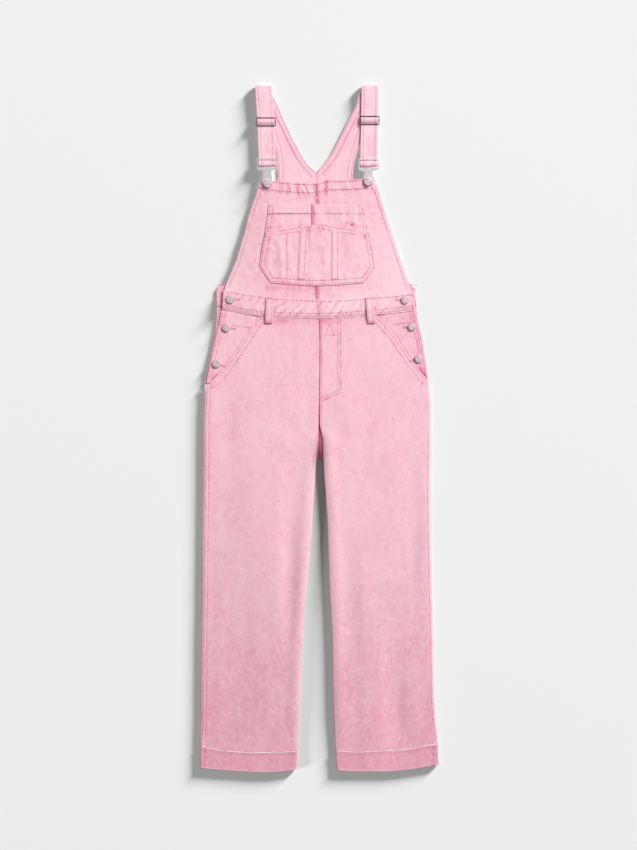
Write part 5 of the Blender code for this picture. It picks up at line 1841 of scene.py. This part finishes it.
def strap_thread(side, at, line, along, normal, spec):
    """One row of stitches near each edge, where the strap faces up."""
    over_fold = (along[:, 1] > -0.6) & (line[:, 2] > 5) & (line[:, 1] > spec["fold_y"] - 8)
    shown = np.nonzero((along[:, 1] > 0.25) | over_fold)[0]
    start = at[shown[0]]
    count = int((at[shown[-1]] - start) / STRAP_PITCH)
    points = np.empty((2, count, len(STRAP_STITCH_SHAPE), STITCH_SIDES, 3))
    for i, (share, swell) in enumerate(STRAP_STITCH_SHAPE):
        run = start + (np.arange(count) + 0.5 + (share - 0.5) * 0.6) * STRAP_PITCH
        centre = np.stack([np.interp(run, at, line[:, k]) for k in range(3)], 1)
        up = np.stack([np.interp(run, at, normal[:, k]) for k in range(3)], 1)
        for j, turn in enumerate(STITCH_TURNS):
            spot = centre + up * (STRAP_CLOTH / 2 + math.sin(turn) * 0.40 * swell)
            for k, offset in enumerate((-STRAP_ROW, STRAP_ROW)):
                points[k, :, i, j] = spot + (offset + math.cos(turn) * 0.46 * swell, 0, 0)
    name = "front_strap_" + side
    points = points.reshape(2 * count, len(STRAP_STITCH_SHAPE), STITCH_SIDES, 3)
    thread("stitching_" + name, points, THREAD, "cloth_" + name)


for side, spec in STRAPS.items():
    strap(side, spec)
print("straps are", [round(made["flat"][1], 3) for made in SHELLS.values()][-2:], "m long")

# %% [markdown]
# ## Metal
# The hooks and sliders keep their packed plates, with rounded edges. A real plate is stamped, and
# its edges are never sharp. The buttons are turned again with more sides: a rolled rim, a dished
# ring and a low centre.

# %% Hooks and sliders
for name in ("hook_right", "hook_left", "slider_right", "slider_left"):
    plate = bpy.data.objects[name]
    plate.data.materials.clear()
    plate.data.materials.append(METAL if name.startswith("hook") else WIRE)
    soft = plate.modifiers.new("soft_edges", "BEVEL")
    soft.width = 0.0005
    soft.segments = 3
    soft.limit_method = "ANGLE"
    soft.angle_limit = math.radians(40)

# %% Buttons
BUTTON_RADIUS = 8.7
BUTTON_SIDES = 44
# The post of a button up to its neck: radius, height.
BUTTON_POST = ((4.6, 0.0), (4.6, 0.6), (2.6, 0.8))
# Its head, from the neck out to the rim and in to the middle: inset from the rim, height.
BUTTON_HEAD = (
    (1.6, 0.05), (0.6, 0.35), (0.1, 0.8), (0, 1.2), (0.3, 1.65), (0.9, 1.95), (1.7, 2.02),
    (2.2, 1.92), (2.7, 1.95), (3.6, 2.0), (5.0, 2.04), (6.7, 2.06), (7.7, 2.07),
)
BUTTON_TOP = 2.08
# Heights of the posts, so that each head clears the cloth below it.
BIB_NECK, SIDE_NECK = 4.2, 1.6
SIDE_BUTTONS = {
    "right": ((-185.2, 271.4), (-194.0, 212.2), (-214.4, 136.4)),
    "left": ((181.7, 270.4), (196.6, 214.5), (210.4, 147.1)),
}


def button(name, x, y, z, neck):
    """Turned button: rings round its profile, closed with a fan below and on top."""
    head = [(BUTTON_RADIUS - inset, neck + height) for inset, height in BUTTON_HEAD]
    profile = BUTTON_POST + ((2.5, neck),) + tuple(head)
    a = np.linspace(0, 2 * math.pi, BUTTON_SIDES + 1)[:-1]
    rings = []
    for radius, height in profile:
        level = np.full(BUTTON_SIDES, z + height)
        rings.append(np.stack([x + radius * np.cos(a), y + radius * np.sin(a), level], 1))
    points = np.concatenate(rings + [np.array([[x, y, z], [x, y, z + neck + BUTTON_TOP]])])
    index = np.arange(len(rings) * BUTTON_SIDES).reshape(-1, BUTTON_SIDES)
    faces = ring_quads(index).tolist()
    low, high = index.size, index.size + 1
    for k in range(BUTTON_SIDES):
        after = (k + 1) % BUTTON_SIDES
        faces.append([int(index[0, after]), int(index[0, k]), low])
        faces.append([int(index[-1, k]), int(index[-1, after]), high])
    made = link("metal_" + name, points, faces)
    made.data.materials.append(WORN)
    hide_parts(name)


button("bib_button_right", -106.6, 514.4, 5.0, BIB_NECK)
button("bib_button_left", 104.2, 518.4, 5.0, BIB_NECK)
for side, spots in SIDE_BUTTONS.items():
    for number, (x, y) in enumerate(spots, 1):
        name = "side_button_%s_%d" % (side, number)
        button(name, x, y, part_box(name)[0][2] / MM + 0.05, SIDE_NECK)

# %% [markdown]
# ### Buttonholes
# A buttonhole is dense thread laid across the edge of a slit. It runs inward from each side button,
# and most of it shows beside the button. The same function that sews the rows makes it, with its
# stitches turned across the path.

# %% Buttonholes
HOLE_HALF_LENGTH, HOLE_HALF_WIDTH = 10.5, 1.5
HOLE_OFFSET = 9.5
HOLE_LEANS = (-0.02, -0.12, -0.30)


def over_pocket_mouth(side, sign):
    """Surface of the leg inside the pocket mouth, and of the facing outside it."""
    pocket = RIGHT_POCKET if side == "right" else LEFT_POCKET

    def surface(px, py):
        inside = (px - look(pocket, py)) * sign > 0
        return np.where(inside, leg_surface[side](px, py), facing_surface[side](px, py))

    return surface


def buttonhole(side, number, x, y):
    sign = 1 if side == "right" else -1
    lean = HOLE_LEANS[number - 1]
    a = np.linspace(0, 2 * math.pi, 40)
    square = np.sign(np.sin(a)) * np.abs(np.sin(a)) ** 0.6
    local = np.stack([HOLE_HALF_LENGTH * np.cos(a), HOLE_HALF_WIDTH * square], 1)
    turn = np.array([[1, sign * lean], [-sign * lean, 1]]) / math.hypot(1, lean)
    path = local @ turn + (x + sign * HOLE_OFFSET, y + HOLE_OFFSET * lean)
    ground = (waist_surface, facing_surface[side], over_pocket_mouth(side, sign))[number - 1]
    owner = "cloth_front_waistband_" if number == 1 else "cloth_pocket_facing_"
    stitches(
        "buttonhole_%s_%d" % (side, number), [row(path, pitch=0.75)], ground, owner + side,
        lift=0.1, thickness=0.38, across=1.9,
    )


for side, spots in SIDE_BUTTONS.items():
    for number, (x, y) in enumerate(spots, 1):
        buttonhole(side, number, x, y)

# %% [markdown]
# ## Floor, light and camera
# The photograph has bright, even cloth and a long soft shadow on a pale, even floor. One lamp can't
# give both, so the cloth and the floor have lamps of their own, kept apart by light linking, as
# barn doors and flags do in a studio. The camera looks straight down from far enough that the
# edges don't lean.

# %% Floor and sky
FLOOR_HALF = 6
FLOOR_Z = -0.0003
mesh = bpy.data.meshes.new("floor")
corners = [(x * FLOOR_HALF, y * FLOOR_HALF, FLOOR_Z) for x, y in ((-1, -1), (1, -1), (1, 1), (-1, 1))]
mesh.from_pydata(corners, [], [(0, 1, 2, 3)])
floor = bpy.data.objects.new("floor", mesh)
bpy.context.scene.collection.objects.link(floor)
# Seamless background paper: matt, with almost no gloss.
FLOOR, tree = material("pale_floor")
paper = {"Base Color": linear("#ecedec"), "Specular IOR Level": 0.1}
skin = node(tree, "ShaderNodeBsdfPrincipled", Roughness=0.95, **paper)
node(tree, "ShaderNodeOutputMaterial", {"Surface": skin.outputs["BSDF"]})
floor.data.materials.append(FLOOR)

sky = bpy.data.worlds.new("studio")
bpy.context.scene.world = sky
sky.use_nodes = True
sky.node_tree.nodes["Background"].inputs["Color"].default_value = (0.96, 0.98, 1.0, 1.0)
sky.node_tree.nodes["Background"].inputs["Strength"].default_value = 0.13
print("floor", 2 * FLOOR_HALF, "m wide")

# %% Lamps


def lamp(name, place, aim, size, power, lights):
    """Area lamp that lights one collection."""
    data = bpy.data.lights.new(name, "AREA")
    data.shape = "RECTANGLE"
    data.size, data.size_y = size
    data.energy = power
    made = bpy.data.objects.new(name, data)
    made.location = place
    way = np.array(aim, float) - np.array(place, float)
    made.rotation_euler = Vector(way).to_track_quat("-Z", "Y").to_euler()
    bpy.context.scene.collection.objects.link(made)
    made.light_linking.receiver_collection = lights
    return made


only_floor = bpy.data.collections.new("lit_by_low_wash")
only_floor.objects.link(floor)
not_floor = bpy.data.collections.new("lit_by_key")
not_floor.objects.link(floor)
for member in not_floor.collection_objects:
    member.light_linking.link_state = "EXCLUDE"
# The key comes over the left shoulder of the garment and brings out its seams and folds. The
# overhead lamp softens it.
lamp("key", (8.1, 8.1, 10.4), (0, 0, 0), (5.0, 7.0), 2870, not_floor)
lamp("overhead", (-0.8, -0.9, 3.4), (0, 0, 0), (4.4, 4.4), 26, not_floor)
# The wash grazes the floor, so the thin cloth throws the long soft shadow of the photograph.
lamp("low_wash", (28.0, 28.0, 6.9), (0, 0, 0), (9.0, 6.0), 61500, only_floor)
# A weak return light from the left opens the shadows outside the garment. The right leg flags it
# off between the legs, where the photograph is darkest.
back_fill = lamp("return_light", (-36.0, -10.0, 5.4), (0, -0.3, 0), (8.0, 7.0), 23500, only_floor)
flags = bpy.data.collections.new("flags_return_light")
for name in ("cloth_front_leg_right", "cloth_back_leg_right", "cloth_hem_band_right"):
    flags.objects.link(bpy.data.objects[name])
back_fill.light_linking.blocker_collection = flags

# %% Camera
# The photograph's height in pixels, and how much of the real object one pixel covers.
PHOTO_HEIGHT = 850
PIXEL_MM = 2.1
LENS = 85
SENSOR = 36
camera_data = bpy.data.cameras.new("camera")
camera_data.lens = LENS
camera_data.sensor_width = SENSOR
camera_data.clip_end = 30
camera = bpy.data.objects.new("camera", camera_data)
camera.location = (-0.0002, 0.0079, PHOTO_HEIGHT * PIXEL_MM * MM * LENS / SENSOR + 0.006)
bpy.context.scene.collection.objects.link(camera)
bpy.context.scene.camera = camera
bpy.context.scene.view_settings.view_transform = "Standard"
bpy.context.scene.view_settings.look = "None"
print("camera", round(camera.location.z, 3), "m above the floor")

# %% [markdown]
# ## Flat sizes
# Every piece of cloth prints the size it was cut to. A hem band's size goes all round its leg.

# %% Flat sizes
for name, made in SHELLS.items():
    plain = name.removeprefix("cloth_")
    kind, _, side = plain.rpartition("_")
    print(plain, "cut", [round(v, 3) for v in made["flat"]])
